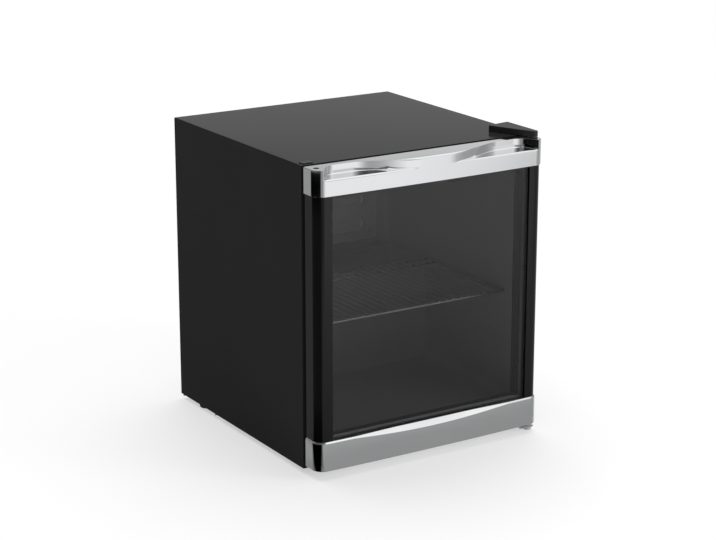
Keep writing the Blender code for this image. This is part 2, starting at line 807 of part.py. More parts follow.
def compressor_plate():
    """The channel across the niche that carries the compressor, with its edges folded down."""
    half = WRAP_HALF - CLEARANCE
    path = [
        (PLATE_BACK, -PLATE_FLANGE),
        (PLATE_BACK, PLATE_THICKNESS),
        (PLATE_FRONT, PLATE_THICKNESS),
        (PLATE_FRONT, -PLATE_FLANGE),
    ]
    sheet("compressor_plate", path, half, PLATE_THICKNESS, ZINC, CABINET)


def compressor():
    """The sealed pump on its base and four rubber grommets, with the cover over its terminals."""
    length = COMPRESSOR_LENGTH / 2
    pump = make(
        "compressor",
        rod_mesh(
            "compressor",
            length,
            COMPRESSOR_LEVEL,
            COMPRESSOR_TOP,
            at=(COMPRESSOR_X, 0),
            squash=COMPRESSOR_DEPTH / COMPRESSOR_LENGTH,
        ),
        COMPRESSOR_BLACK,
        CABINET,
    )
    pump.location.y = COMPRESSOR_Y
    round_edges(pump, COMPRESSOR_EDGE, 3)
    reach_x = length + BASE_MARGIN
    reach_y = COMPRESSOR_DEPTH / 2 - BASE_MARGIN / 2
    box(
        "compressor_base",
        (COMPRESSOR_X - reach_x, COMPRESSOR_Y - reach_y, BASE_LEVEL),
        (COMPRESSOR_X + reach_x, COMPRESSOR_Y + reach_y, BASE_LEVEL + BASE_THICKNESS),
        COMPRESSOR_BLACK,
        CABINET,
    )
    low = PLATE_THICKNESS + CLEARANCE
    high = low + GROMMET_HEIGHT
    waist = (low + high) / 2
    profile = [
        (0, high),
        (GROMMET_RADIUS, high),
        (0.8 * GROMMET_RADIUS, waist),
        (GROMMET_RADIUS, low),
        (0, low),
    ]
    corners = [(x, y) for x in (-1, 1) for y in (-1, 1)]
    for number, (x, y) in enumerate(corners, 1):
        place = (
            COMPRESSOR_X + x * (reach_x - GROMMET_RADIUS),
            COMPRESSOR_Y + y * (reach_y - GROMMET_RADIUS),
            0,
        )
        turned(f"grommet_{number}", profile, SEAL, CABINET, place)
    side = COMPRESSOR_X + length + CLEARANCE
    relay = box(
        "relay_cover",
        (side, COMPRESSOR_Y - RELAY_SIZE[1] / 2, RELAY_LEVEL),
        (side + RELAY_SIZE[0], COMPRESSOR_Y + RELAY_SIZE[1] / 2, RELAY_LEVEL + RELAY_SIZE[2]),
        BLACK_PLASTIC,
        CABINET,
    )
    round_edges(relay, LINER_WALL)


def evaporation_tray():
    """The tray on the compressor that dries the drain water, and the spout above it."""
    length, depth, height = EVAPORATION_TRAY_SIZE
    low = COMPRESSOR_TOP + CLEARANCE
    open_tray(
        "evaporation_tray",
        (COMPRESSOR_X - length / 2, COMPRESSOR_Y - depth / 2, low),
        (COMPRESSOR_X + length / 2, COMPRESSOR_Y + depth / 2, low + height),
        TRAY_WALL,
        BLACK_PLASTIC,
        CABINET,
    )
    top = NICHE_ROOF - CLEARANCE
    profile = ring_profile(DRAIN_RADIUS, DRAIN_BORE, top - DRAIN_DROP, top)
    turned("drain_spout", profile, BLACK_PLASTIC, CABINET, (0, COMPRESSOR_Y, 0))


def refrigerant_pipes():
    """Suction, discharge and capillary pipes, and the filter drier in the liquid line."""
    roof = NICHE_ROOF - CLEARANCE
    back = COMPRESSOR_Y + COMPRESSOR_DEPTH / 2 + 2 * CLEARANCE
    lane = back + PIPE_BEND / 2 + PIPE_RADIUS / 2
    clear_x = COMPRESSOR_X + COMPRESSOR_LENGTH / 2 + RELAY_SIZE[0] + PIPE_BEND
    suction = [
        (COMPRESSOR_X, back, PIPE_LEVEL),
        (COMPRESSOR_X, lane, PIPE_LEVEL),
        (clear_x, lane, PIPE_LEVEL),
        (clear_x, COMPRESSOR_Y, PIPE_LEVEL + 2 * PIPE_BEND),
        (clear_x, COMPRESSOR_Y, roof),
    ]
    pipe("suction_pipe", bent(suction, PIPE_BEND), PIPE_RADIUS, COPPER, CABINET)
    left = COMPRESSOR_X - COMPRESSOR_LENGTH / 2 - 2 * CLEARANCE
    riser_foot = NICHE_ROOF - 3 * PIPE_BEND
    discharge = [
        (left, COMPRESSOR_Y, PIPE_LEVEL),
        (RISER_X, COMPRESSOR_Y, PIPE_LEVEL),
        (RISER_X, COIL_Y, PIPE_LEVEL),
        (RISER_X, COIL_Y, riser_foot - CLEARANCE),
    ]
    pipe("discharge_pipe", bent(discharge, 2 * PIPE_BEND), DISCHARGE_RADIUS, COPPER, CABINET)
    drier_y = PLATE_BACK - DRIER_RADIUS - CLEARANCE
    drier_x = COIL_HALF_WIDTH
    drier_top = DRIER_LEVEL + DRIER_LENGTH
    neck = DRIER_RADIUS / 3
    profile = [
        (0, drier_top),
        (neck, drier_top),
        (DRIER_RADIUS, drier_top - DRIER_RADIUS),
        (DRIER_RADIUS, DRIER_LEVEL + DRIER_RADIUS),
        (neck, DRIER_LEVEL),
        (0, DRIER_LEVEL),
    ]
    turned("filter_drier", profile, COPPER, CABINET, (drier_x, drier_y, 0))
    loop = DRIER_LEVEL - 2 * PIPE_BEND
    turn_x = (drier_x + clear_x) / 2
    capillary = [
        (drier_x, drier_y, DRIER_LEVEL - CLEARANCE),
        (drier_x, drier_y, loop),
        (turn_x, drier_y, loop),
        (turn_x, drier_y, PIPE_LEVEL),
        (turn_x, COMPRESSOR_Y, PIPE_LEVEL + PIPE_BEND),
        (turn_x, COMPRESSOR_Y, roof),
    ]
    pipe("capillary_pipe", bent(capillary, PIPE_BEND), CAPILLARY_RADIUS, COPPER, CABINET)
    condenser(riser_foot, (drier_x, drier_y, drier_top + CLEARANCE))


def condenser(riser_foot, outlet):
    """The coil of bent pipe on the back, its wires, and the clips that hold it off the panel."""
    turns = [(RISER_X, COIL_Y, riser_foot), (RISER_X, COIL_Y, COIL_TOP)]
    for run in range(COIL_RUNS):
        level = COIL_TOP - run * COIL_PITCH
        ends = (-COIL_HALF_WIDTH, COIL_HALF_WIDTH) if run % 2 == 0 else (COIL_HALF_WIDTH, -COIL_HALF_WIDTH)
        turns += [(x, COIL_Y, level) for x in ends[run == 0 :]]
    turns += [
        (outlet[0], COIL_Y, NICHE_ROOF - 2 * PIPE_BEND),
        (outlet[0], outlet[1], outlet[2] + PIPE_BEND),
        outlet,
    ]
    pipe("condenser_coil", bent(turns, COIL_PITCH / 2), COIL_RADIUS, CONDENSER_BLACK, CABINET)
    half = COIL_HALF_WIDTH - COIL_PITCH
    low = COIL_BOTTOM - COIL_PITCH / 2
    high = COIL_TOP + COIL_PITCH / 2
    count = int((2 * half - CONDENSER_WIRE) / CONDENSER_WIRE_PITCH)
    first = -(count - 1) / 2 * CONDENSER_WIRE_PITCH
    gap = (CONDENSER_WIRE_PITCH - CONDENSER_WIRE) / 2
    outlines = [rectangle((-half, low), (half, high))]
    for i in range(count):
        x = first + i * CONDENSER_WIRE_PITCH
        outlines.append(rectangle((x - gap, low + CONDENSER_WIRE), (x + gap, high - CONDENSER_WIRE)))
    back = CABINET_DEPTH + CONDENSER_REACH
    prism("condenser_wires", outlines, back - CONDENSER_WIRE, back, CONDENSER_BLACK, CABINET, "Y")
    number = 0
    for x in (-CLIP_X, CLIP_X):
        for level in (COIL_BOTTOM + COIL_PITCH, COIL_TOP - COIL_PITCH):
            number += 1
            box(
                f"condenser_clip_{number}",
                (x - CLIP_WIDTH / 2, CABINET_DEPTH + CLEARANCE, level - CLIP_WIDTH / 2),
                (x + CLIP_WIDTH / 2, COIL_Y - COIL_RADIUS - CLEARANCE, level + CLIP_WIDTH / 2),
                BLACK_PLASTIC,
                CABINET,
            )


def cord_inlet():
    """A bracket standing on the compressor plate, with the bush that the mains lead passes through."""
    low = PLATE_THICKNESS + CLEARANCE
    back = PLATE_BACK - PLATE_THICKNESS
    front = back - PLATE_THICKNESS
    bracket = box(
        "cord_bracket",
        (GLAND_X - BRACKET_WIDTH / 2, front, low),
        (GLAND_X + BRACKET_WIDTH / 2, back, low + BRACKET_HEIGHT),
        ZINC,
        CABINET,
    )
    hole = rod_cutter(
        "bracket_hole", GLAND_RADIUS + CLEARANCE, front - PAST, back + PAST, "Y", (GLAND_X, GLAND_LEVEL)
    )
    cut(bracket, hole)
    groove = (back - front) / 2 + CLEARANCE
    lip = groove + GLAND_REACH
    profile = [
        (GLAND_FLANGE, lip),
        (GLAND_FLANGE, groove),
        (GLAND_RADIUS, groove),
        (GLAND_RADIUS, -groove),
        (GLAND_FLANGE, -groove),
        (GLAND_FLANGE, -lip),
        (GLAND_BORE, -lip),
        (GLAND_BORE, lip),
        (GLAND_FLANGE, lip),
    ]
    turned("cord_gland", profile, SEAL, CABINET, (GLAND_X, (front + back) / 2, GLAND_LEVEL), (pi / 2, 0, 0))


def feet():
    """Two fixed feet under the compressor plate and two levelling feet at the front."""
    rear_x = HALF_WIDTH - REAR_FOOT_INSET - REAR_FOOT_RADIUS
    profile = [
        (0, -CLEARANCE),
        (REAR_FOOT_RADIUS, -CLEARANCE),
        (0.85 * REAR_FOOT_RADIUS, -FOOT_HEIGHT),
        (0, -FOOT_HEIGHT),
    ]
    for side, x in (("left", -rear_x), ("right", rear_x)):
        turned(f"rear_foot_{side}", profile, SEAL, CABINET, (x, COMPRESSOR_Y, 0))
    seats = (
        ("left", LEFT_FOOT, LEFT_FOOT_X, LEFT_LEVELLER_Y, -CLEARANCE),
        ("right", RIGHT_FOOT, RIGHT_FOOT_X, RIGHT_LEVELLER_Y, -HINGE_PLATE - 2 * CLEARANCE),
    )
    for side, body, x, y, seat in seats:
        profile = [
            (0, LEVELLER_STUD_TOP),
            (LEVELLER_STUD, LEVELLER_STUD_TOP),
            (LEVELLER_STUD, seat),
            (LEVELLER_RADIUS, seat),
            (LEVELLER_RADIUS, -FOOT_HEIGHT),
            (0, -FOOT_HEIGHT),
        ]
        turned(f"levelling_foot_{side}", profile, GREY_PLASTIC, body, (x, y, 0))


def upper_hinge():
    """The plate on the cabinet's top, its pin down into the door, and the wedge-shaped cover."""
    low = CABINET_HEIGHT + CLEARANCE
    plate_top = low + HINGE_PLATE
    outline = inset(COVER_CORNERS, COVER_WALL + CLEARANCE)
    plate = prism("upper_hinge_plate", [outline], low, plate_top, ZINC, CABINET)
    hole = rod_cutter(
        "upper_pin_hole", PIN_RADIUS + CLEARANCE, low - PAST, plate_top + PAST, "Z", (HINGE_X, HINGE_Y)
    )
    cut(plate, hole)
    pin = rod_mesh("upper_hinge_pin", PIN_RADIUS, DOOR_TOP - PIN_DEPTH, plate_top, "Z", (HINGE_X, HINGE_Y))
    make("upper_hinge_pin", pin, ZINC, CABINET)
    top = CABINET_HEIGHT + COVER_HEIGHT
    cover = prism("hinge_cover", [COVER_CORNERS], low, top, BLACK_PLASTIC, CABINET)
    hollow = prism_cutter("cover_hollow", inset(COVER_CORNERS, COVER_WALL), low - PAST, top - COVER_WALL)
    cut(cover, hollow)


def lower_hinge():
    """The plate under the cabinet that carries the door's lower pin and the right levelling foot."""
    high = -CLEARANCE
    low = high - HINGE_PLATE
    right = HALF_WIDTH - LOWER_PLATE_SIDE_GAP
    outline = rectangle((right - LOWER_PLATE_WIDTH, LOWER_PLATE_FRONT), (right, LOWER_PLATE_BACK))
    plate = prism("lower_hinge_plate", [outline], low, high, ZINC, CABINET)
    pin_hole = rod_cutter(
        "lower_pin_hole", PIN_RADIUS + CLEARANCE, low - PAST, high + PAST, "Z", (HINGE_X, HINGE_Y)
    )
    stud_hole = rod_cutter(
        "lower_stud_hole",
        LEVELLER_STUD + CLEARANCE,
        low - PAST,
        high + PAST,
        "Z",
        (RIGHT_FOOT_X, RIGHT_LEVELLER_Y),
    )
    cut(plate, pin_hole, stud_hole)
    profile = [
        (0, DOOR_BOTTOM + PIN_DEPTH),
        (PIN_RADIUS, DOOR_BOTTOM + PIN_DEPTH),
        (PIN_RADIUS, DOOR_BOTTOM - CLEARANCE),
        (COLLAR_RADIUS, DOOR_BOTTOM - CLEARANCE),
        (COLLAR_RADIUS, 0),
        (PIN_RADIUS, 0),
        (PIN_RADIUS, low),
        (0, low),
    ]
    turned("lower_hinge_pin", profile, ZINC, CABINET, (HINGE_X, HINGE_Y, 0))


def corner_plug():
    """The cap over the spare hinge holes, where the door can be hung the other way round."""
    left = -HALF_WIDTH + PLUG_WIDTH / 2
    plug = box(
        "corner_plug",
        (left, PLUG_WIDTH / 2, CABINET_HEIGHT + CLEARANCE),
        (left + PLUG_LENGTH, PLUG_WIDTH * 3 / 2, CABINET_HEIGHT + CLEARANCE + PLUG_THICKNESS),
        BLACK_PLASTIC,
        CABINET,
    )
    round_edges(plug, PLUG_THICKNESS / 2)


def front_line(x):
    """The bowed front of the chrome trims at a place across the door."""
    flat = HALF_WIDTH - DOOR_CORNER
    share = min(abs(x) / flat, 1)
    return DOOR_FRONT - DOOR_BOW * (1 - share * share)


def door_plan():
    """The trims' outline from above: flat sides, round corners and a bowed front."""
    flat = HALF_WIDTH - DOOR_CORNER
    corner_y = DOOR_FRONT + DOOR_CORNER
    left = arc((-flat, corner_y), DOOR_CORNER, pi, 1.5 * pi)
    bow = [(x, front_line(x)) for x in span(-flat, flat, 16)]
    right = arc((flat, corner_y), DOOR_CORNER, 1.5 * pi, 2 * pi)
    return [(-HALF_WIDTH, DOOR_BACK), *left, *bow[1:-1], *right, (HALF_WIDTH, DOOR_BACK)]


def pocket_line(x):
    """The back wall of the finger pockets: flush in the middle, then a wave back to each pocket's end."""
    x = abs(x)
    deep = DOOR_FRONT + POCKET_DEPTH
    proud = DOOR_FRONT - DOOR_BOW - RIM / 2
    if x >= POCKET_MIDDLE:
        share = (x - POCKET_MIDDLE) / (POCKET_END - POCKET_MIDDLE)
        return deep - POCKET_DEPTH * (1 - sqrt(max(0, 1 - share * share)))
    share = max(0, (x - POCKET_START) / (POCKET_MIDDLE - POCKET_START))
    return deep + (proud - deep) * (1 + cos(pi * share)) / 2


def glazing_cuts(name, low, high, opening_level, direction):
    """The grooves in a trim for the glass and its bead, which reach past the opening's edge."""
    glass = opening_level + direction * (GLASS_OVERLAP + CLEARANCE)
    bead = opening_level + direction * (BEAD_WIDTH + CLEARANCE)
    mouth = opening_level - direction * PAST
    plate_low, plate_high = sorted((mouth, high if direction > 0 else low))
    half = GLASS_HALF + CLEARANCE
    bead_half = BEAD_HALF + CLEARANCE
    plate_half = PLATE_HALF + CLEARANCE
    return (
        box_cutter(
            f"{name}_glass_groove",
            (-half, GLASS_FRONT - CLEARANCE, min(glass, mouth)),
            (half, GLASS_BACK + CLEARANCE, max(glass, mouth)),
        ),
        box_cutter(
            f"{name}_bead_groove",
            (-bead_half, GLASS_BACK, min(bead, mouth)),
            (bead_half, PLATE_LINE, max(bead, mouth)),
        ),
        box_cutter(
            f"{name}_plate_seat",
            (-plate_half, PLATE_LINE - CLEARANCE, plate_low),
            (plate_half, DOOR_BACK + PAST, plate_high),
        ),
    )


def handle_trim():
    """The chrome cap across the door's top, with a finger pocket scooped out on each side."""
    trim = prism("handle_trim", [door_plan()], HANDLE_BOTTOM, DOOR_TOP, CHROME, DOOR)
    ahead = DOOR_FRONT - DOOR_BOW - POCKET_DEPTH
    for side in (-1, 1):
        wall = [(side * x, pocket_line(x)) for x in span(POCKET_START, POCKET_END, 20)]
        scoop = [*wall, (side * POCKET_END, ahead), (side * POCKET_START, ahead)]
        across = [x for x in span(POCKET_START, POCKET_END - RIM, 40) if pocket_line(x) > front_line(x) + 2 * RIM]
        ledge = SHEET / 2
        trough = [(side * x, pocket_line(x) - ledge) for x in across[::2]]
        trough += [(side * x, front_line(x) + RIM) for x in reversed(across[::2])]
        cut(
            trim,
            prism_cutter(f"finger_scoop_{side}", scoop, BAND_TOP, DOOR_TOP + PAST),
            prism_cutter(f"finger_trough_{side}", trough, BAND_TOP - TROUGH_DEPTH, BAND_TOP + PAST),
        )
    inside = DOOR_TOP - TRIM_WALL
    cut(trim, *glazing_cuts("handle", HANDLE_BOTTOM, inside, HANDLE_BOTTOM, 1))
    reach = POCKET_MIDDLE - POCKET_START
    hollow = [
        (-reach, DOOR_BACK + PAST),
        (-reach, pocket_line(reach) + TRIM_FRONT_WALL),
        (-POCKET_START, DOOR_FRONT + TRIM_FRONT_WALL),
        (POCKET_START, DOOR_FRONT + TRIM_FRONT_WALL),
        (reach, pocket_line(reach) + TRIM_FRONT_WALL),
        (reach, DOOR_BACK + PAST),
    ]
    cut(trim, prism_cutter("handle_hollow", hollow, HANDLE_BOTTOM + BEAD_WIDTH + TRIM_WALL, inside - SHEET))
    bush_hole = rod_cutter(
        "upper_bush_hole",
        BUSH_RADIUS + CLEARANCE,
        DOOR_TOP - PIN_DEPTH - CLEARANCE,
        DOOR_TOP + PAST,
        "Z",
        (HINGE_X, HINGE_Y),
    )
    cut(trim, bush_hole)


def bottom_trim():
    """The chrome cap across the door's bottom, with a long shallow chamfer along its upper edge."""
    trim = prism("bottom_trim", [door_plan()], DOOR_BOTTOM, TRIM_TOP, CHROME, DOOR)
    radius = (LENS_HALF_LENGTH**2 + LENS_DROP**2) / (2 * LENS_DROP)
    spread = 2 * LENS_HALF_LENGTH
    bowl = [(x, radius - LENS_DROP - sqrt(radius**2 - x**2)) for x in span(-spread, spread, 32)]
    bowl += [(spread, spread), (-spread, spread)]
    lens = prism_cutter("trim_lens", bowl, -spread, spread, "Y")
    lens.location = (0, DOOR_FRONT - DOOR_BOW, TRIM_TOP)
    lens.rotation_euler = (pi / 4, 0, 0)
    cut(trim, lens)
    cut(trim, *glazing_cuts("bottom", DOOR_BOTTOM + TRIM_WALL, TRIM_TOP, TRIM_TOP, -1))
    half = GLASS_HALF - TRIM_WALL
    hollow = box_cutter(
        "bottom_hollow",
        (-half, DOOR_FRONT + TRIM_FRONT_WALL, DOOR_BOTTOM + TRIM_WALL),
        (half, DOOR_BACK + PAST, TRIM_TOP - BEAD_WIDTH - TRIM_WALL),
    )
    bush_hole = rod_cutter(
        "lower_bush_hole",
        BUSH_RADIUS + CLEARANCE,
        DOOR_BOTTOM - PAST,
        DOOR_BOTTOM + PIN_DEPTH + TRIM_WALL,
        "Z",
        (HINGE_X, HINGE_Y),
    )
    cut(trim, hollow, bush_hole)


def stiles():
    """The two black uprights, rounded at the front, with rebates for the glass, its bead and the plate."""
    low = TRIM_TOP + CLEARANCE
    high = HANDLE_BOTTOM - CLEARANCE
    radius = DOOR_CORNER - FRAME_INSET
    corner = (STILE_HALF - radius, STILE_FRONT + radius)
    outline = [
        (STILE_HALF, DOOR_BACK),
        *arc(corner, radius, 0, -pi / 2),
        (OPENING_HALF, STILE_FRONT),
        (OPENING_HALF, GLASS_FRONT - CLEARANCE),
        (GLASS_HALF + CLEARANCE, GLASS_FRONT - CLEARANCE),
        (GLASS_HALF + CLEARANCE, GLASS_BACK),
        (BEAD_HALF + CLEARANCE, GLASS_BACK),
        (BEAD_HALF + CLEARANCE, PLATE_LINE - CLEARANCE),
        (PLATE_HALF + CLEARANCE, PLATE_LINE - CLEARANCE),
        (PLATE_HALF + CLEARANCE, DOOR_BACK),
    ]
    for name, side in (("left_stile", -1), ("right_stile", 1)):
        prism(name, [[(side * x, y) for x, y in outline]], low, high, BLACK_GLOSS, DOOR)


def inner_frame():
    """The plate over the door's back, with a bead that presses the glass into the stiles."""
    low = DOOR_BOTTOM + TRIM_WALL + CLEARANCE
    high = DOOR_TOP - TRIM_WALL - CLEARANCE
    frame = box(
        "inner_frame", (-PLATE_HALF, PLATE_LINE, low), (PLATE_HALF, DOOR_BACK, high), BLACK_PLASTIC, DOOR
    )
    bead = box_cutter(
        "glazing_bead",
        (-BEAD_HALF, GLASS_BACK + CLEARANCE, TRIM_TOP - BEAD_WIDTH),
        (BEAD_HALF, PLATE_LINE + BACK_PLATE / 2, HANDLE_BOTTOM + BEAD_WIDTH),
    )
    window = box_cutter(
        "inner_window",
        (-OPENING_HALF, GLASS_FRONT, TRIM_TOP),
        (OPENING_HALF, DOOR_BACK + PAST, HANDLE_BOTTOM),
    )
    join(frame, bead)
    cut(frame, window)


def glazing():
    """Two panes of smoked glass with a spacer between them."""
    low = TRIM_TOP - GLASS_OVERLAP
    high = HANDLE_BOTTOM + GLASS_OVERLAP
    front = GLASS_FRONT
    for name in ("outer_glass", "inner_glass"):
        box(
            name,
            (-GLASS_HALF, front, low),
            (GLASS_HALF, front + GLASS_THICKNESS, high),
            SMOKED_GLASS,
            DOOR,
        )
        front += GLASS_THICKNESS + GLASS_GAP + 2 * CLEARANCE
    start = GLASS_FRONT + GLASS_THICKNESS + CLEARANCE
    outer = rectangle((-GLASS_HALF, low), (GLASS_HALF, high))
    hole = inset(outer, SPACER_WIDTH)
    prism("glass_spacer", [outer, hole], start, start + GLASS_GAP, ALUMINIUM, DOOR, "Y")


def gasket():
    """The magnetic seal that the door closes on."""
    half = HALF_WIDTH - GASKET_OUTER_INSET
    outer = rectangle((-half, GASKET_DROP), (half, CABINET_HEIGHT - GASKET_DROP))
    hole = inset(outer, GASKET_WIDTH)
    prism("door_gasket", [outer, hole], DOOR_BACK + CLEARANCE, -CLEARANCE, SEAL, DOOR, "Y")


def bushes():
    """Plastic bushes that turn on the two hinge pins."""
    upper = ring_profile(BUSH_RADIUS, BUSH_BORE, DOOR_TOP - PIN_DEPTH, DOOR_TOP - CLEARANCE)
    lower = ring_profile(
        BUSH_RADIUS, BUSH_BORE, DOOR_BOTTOM + CLEARANCE, DOOR_BOTTOM + PIN_DEPTH + TRIM_WALL - CLEARANCE
    )
    turned("upper_hinge_bush", upper, GREY_PLASTIC, DOOR, (HINGE_X, HINGE_Y, 0))
    turned("lower_hinge_bush", lower, GREY_PLASTIC, DOOR, (HINGE_X, HINGE_Y, 0))


outer_wrap()
back_panel()
base_panel()
foam()
liner()
shelf()
evaporator()
drip_tray()
thermostat()
compressor_plate()
compressor()
evaporation_tray()
refrigerant_pipes()
cord_inlet()
feet()
upper_hinge()
lower_hinge()
corner_plug()
handle_trim()
bottom_trim()
stiles()
inner_frame()
glazing()
gasket()
bushes()
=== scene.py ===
# %% [markdown]
# # A small drinks cooler with a glass door
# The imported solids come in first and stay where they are. They are the frame that every finer piece is
# built on, so the main sizes below repeat the part's source, in metres. Only what is finer than the
# solids has sizes of its own.

import json
from math import atan2, cos, degrees, pi, radians, sin, sqrt, tan

import bmesh
import bpy
from mathutils import Matrix, Vector


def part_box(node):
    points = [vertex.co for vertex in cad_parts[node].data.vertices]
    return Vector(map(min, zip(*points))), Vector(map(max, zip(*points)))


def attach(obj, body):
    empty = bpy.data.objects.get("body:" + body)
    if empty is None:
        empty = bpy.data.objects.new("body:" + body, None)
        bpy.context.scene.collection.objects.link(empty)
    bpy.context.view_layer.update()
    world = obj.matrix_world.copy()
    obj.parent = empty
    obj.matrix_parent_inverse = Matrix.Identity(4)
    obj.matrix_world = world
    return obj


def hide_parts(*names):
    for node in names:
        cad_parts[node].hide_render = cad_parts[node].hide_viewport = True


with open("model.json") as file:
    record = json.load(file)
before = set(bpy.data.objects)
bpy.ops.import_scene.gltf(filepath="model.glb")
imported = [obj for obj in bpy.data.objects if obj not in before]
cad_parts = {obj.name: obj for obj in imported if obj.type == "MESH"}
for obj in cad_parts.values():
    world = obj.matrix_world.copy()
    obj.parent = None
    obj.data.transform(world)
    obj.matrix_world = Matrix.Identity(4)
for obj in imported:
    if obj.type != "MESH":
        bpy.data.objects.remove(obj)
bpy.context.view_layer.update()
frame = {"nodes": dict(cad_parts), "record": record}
scene = bpy.context.scene
scene.view_settings.view_transform = "Standard"
WRAP_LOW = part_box("outer_wrap")[0]
SHIFT = Matrix.Translation((0, WRAP_LOW.y, WRAP_LOW.z))

# %% [markdown]
# ## Camera
# The photograph was taken from the front left, a little above the top, with a long lens. A camera fitted
# to the cabinet's edges gives the place, the turn and the lens, so the camera is set by numbers.

# %% Camera
FRAME_WIDTH = 716
FOCAL_PIXELS = 2005.6
SENSOR = 36.0
CAMERA_PLACE = (-1.7225, -2.7528, 1.1985)
CAMERA_PITCH, CAMERA_YAW = 16.196, 32.188
CLIP_END = 60

camera_data = bpy.data.cameras.new("photo_camera")
camera_data.sensor_width = SENSOR
camera_data.lens = SENSOR * FOCAL_PIXELS / FRAME_WIDTH
camera_data.clip_end = CLIP_END
camera = bpy.data.objects.new("photo_camera", camera_data)
camera.location = CAMERA_PLACE
camera.rotation_euler = (radians(90 - CAMERA_PITCH), 0, radians(-CAMERA_YAW))
scene.collection.objects.link(camera)
scene.camera = camera
print("lens", round(camera_data.lens, 1), "mm")

# %% [markdown]
# ## Nodes in few words
# Shader trees and geometry trees are both nodes joined by links. One helper adds a node, sets its fields,
# and either fills or links each socket, so that a tree reads from top to bottom. The other helpers make a
# mesh or its bands of faces, stand something in the scene, and start a material with an empty tree.

# %% Helpers for nodes, meshes and objects


def place(tree, kind, sockets=(), **fields):
    """Adds one node; sockets holds pairs of an input and either a value or another node's output."""
    made = tree.nodes.new(kind)
    for field, value in fields.items():
        setattr(made, field, value)
    for socket, value in sockets:
        if isinstance(value, bpy.types.NodeSocket):
            tree.links.new(value, made.inputs[socket])
        else:
            made.inputs[socket].default_value = value
    return made


def sum_of(tree, operation, first, second):
    return place(tree, "ShaderNodeMath", ((0, first), (1, second)), operation=operation).outputs[0]


def mesh_from(name, points, faces, edges=()):
    mesh = bpy.data.meshes.new(name)
    mesh.from_pydata(points, edges, faces)
    return mesh


def bands(rows, count):
    """Faces between rows of points that each close on themselves."""
    faces = []
    for low in range(0, (rows - 1) * count, count):
        for i in range(count):
            j = (i + 1) % count
            faces.append((low + i, low + j, low + count + j, low + count + i))
    return faces


def stand(name, data):
    thing = bpy.data.objects.new(name, data)
    scene.collection.objects.link(thing)
    return thing


def bare_material(name):
    material = bpy.data.materials.new(name)
    material.use_nodes = True
    material.node_tree.nodes.clear()
    return material, material.node_tree


print("helpers ready")

# %% [markdown]
# ## Stage
# A pale floor and a white surround. Black enamel shows mostly what it mirrors, so the surround matters as
# much as the lamps. The camera, and rays that leave metal or glass, see white; the floor still takes the
# cooler's own soft shadow. Under the cabinet, where no light gets in, a painted shade is laid on the floor:
# inside a fixed rectangle the lift fades out, so that the gap in front of the compressor plate doesn't glow.

# %% World and floor
SURROUND_LEVEL = 0.50
FLOOR_LIFT = 0.50
FLOOR_SIZE = 18.0
FLOOR_COLOUR = (0.92, 0.92, 0.92, 1)
# Painted shade under the cabinet: the floor's lift is switched off inside this rectangle, with a soft edge.
PAINTED_SHADE_X = (-0.190, 0.213)
PAINTED_SHADE_Y = (-0.140, 0.190)
PAINTED_SHADE_FADE = 0.012


def seen_rays(tree):
    """One where a camera, mirror or glass ray asks, and nought for light that only falls on things."""
    path = place(tree, "ShaderNodeLightPath")
    glossy = sum_of(tree, "MAXIMUM", path.outputs["Is Camera Ray"], path.outputs["Is Glossy Ray"])
    return sum_of(tree, "MAXIMUM", glossy, path.outputs["Is Transmission Ray"])


world = bpy.data.worlds.new("white_surround")
world.use_nodes = True
scene.world = world
sky = world.node_tree
backdrop = sky.nodes["Background"]
backdrop.inputs["Color"].default_value = (1, 1, 1, 1)
level = place(sky, "ShaderNodeMapRange", ((0, seen_rays(sky)), (3, SURROUND_LEVEL), (4, 1.0)))
sky.links.new(level.outputs[0], backdrop.inputs["Strength"])

half = FLOOR_SIZE / 2
corners = [(-half, -half, 0), (half, -half, 0), (half, half, 0), (-half, half, 0)]
floor_mesh = mesh_from("floor", corners, [(0, 1, 2, 3)])
floor_paint, tree = bare_material("pale_floor")
# Painted shade: inside a fixed rectangle under the cabinet the lift fades out by place alone.
position = place(tree, "ShaderNodeNewGeometry").outputs["Position"]
spot = place(tree, "ShaderNodeSeparateXYZ", ((0, position),))
past = []
for axis, (low, high) in enumerate((PAINTED_SHADE_X, PAINTED_SHADE_Y)):
    before = sum_of(tree, "SUBTRACT", low, spot.outputs[axis])
    behind = sum_of(tree, "SUBTRACT", spot.outputs[axis], high)
    past.append(sum_of(tree, "MAXIMUM", before, behind))
outside = sum_of(tree, "MAXIMUM", *past)
outside_painted_shade = place(tree, "ShaderNodeMapRange", ((0, outside), (1, -PAINTED_SHADE_FADE), (2, 0.0)))
lift = sum_of(tree, "MULTIPLY", seen_rays(tree), FLOOR_LIFT)
lift = sum_of(tree, "MULTIPLY", lift, outside_painted_shade.outputs[0])
matt = place(tree, "ShaderNodeBsdfDiffuse", (("Color", FLOOR_COLOUR),))
glow = place(tree, "ShaderNodeEmission")
mix = place(tree, "ShaderNodeMixShader", ((0, lift), (1, matt.outputs[0]), (2, glow.outputs[0])))
place(tree, "ShaderNodeOutputMaterial", ((0, mix.outputs[0]),))
floor_mesh.materials.append(floor_paint)
floor = stand("floor", floor_mesh)
print("floor", FLOOR_SIZE, "m, lift", FLOOR_LIFT)

# %% [markdown]
# Two lamps: a very wide one high up behind the cooler, which leaves the ground before the door a little
# darker, and a weak soft box on the right of the camera.

# %% Lamps
TOP_ENERGY, TOP_SPREAD, TOP_PLACE, TOP_TARGET = 2.0, 65, (0.25, 0.55, 1.5), (0, 0, 0)
FILL_ENERGY, FILL_SIZE, FILL_PLACE, FILL_TARGET = 14.0, 0.8, (1.45, -1.85, 0.95), (0, 0, 0.2)


def aim(lamp, spot, target):
    lamp.location = spot
    lamp.rotation_euler = (Vector(spot) - Vector(target)).to_track_quat("Z", "Y").to_euler()


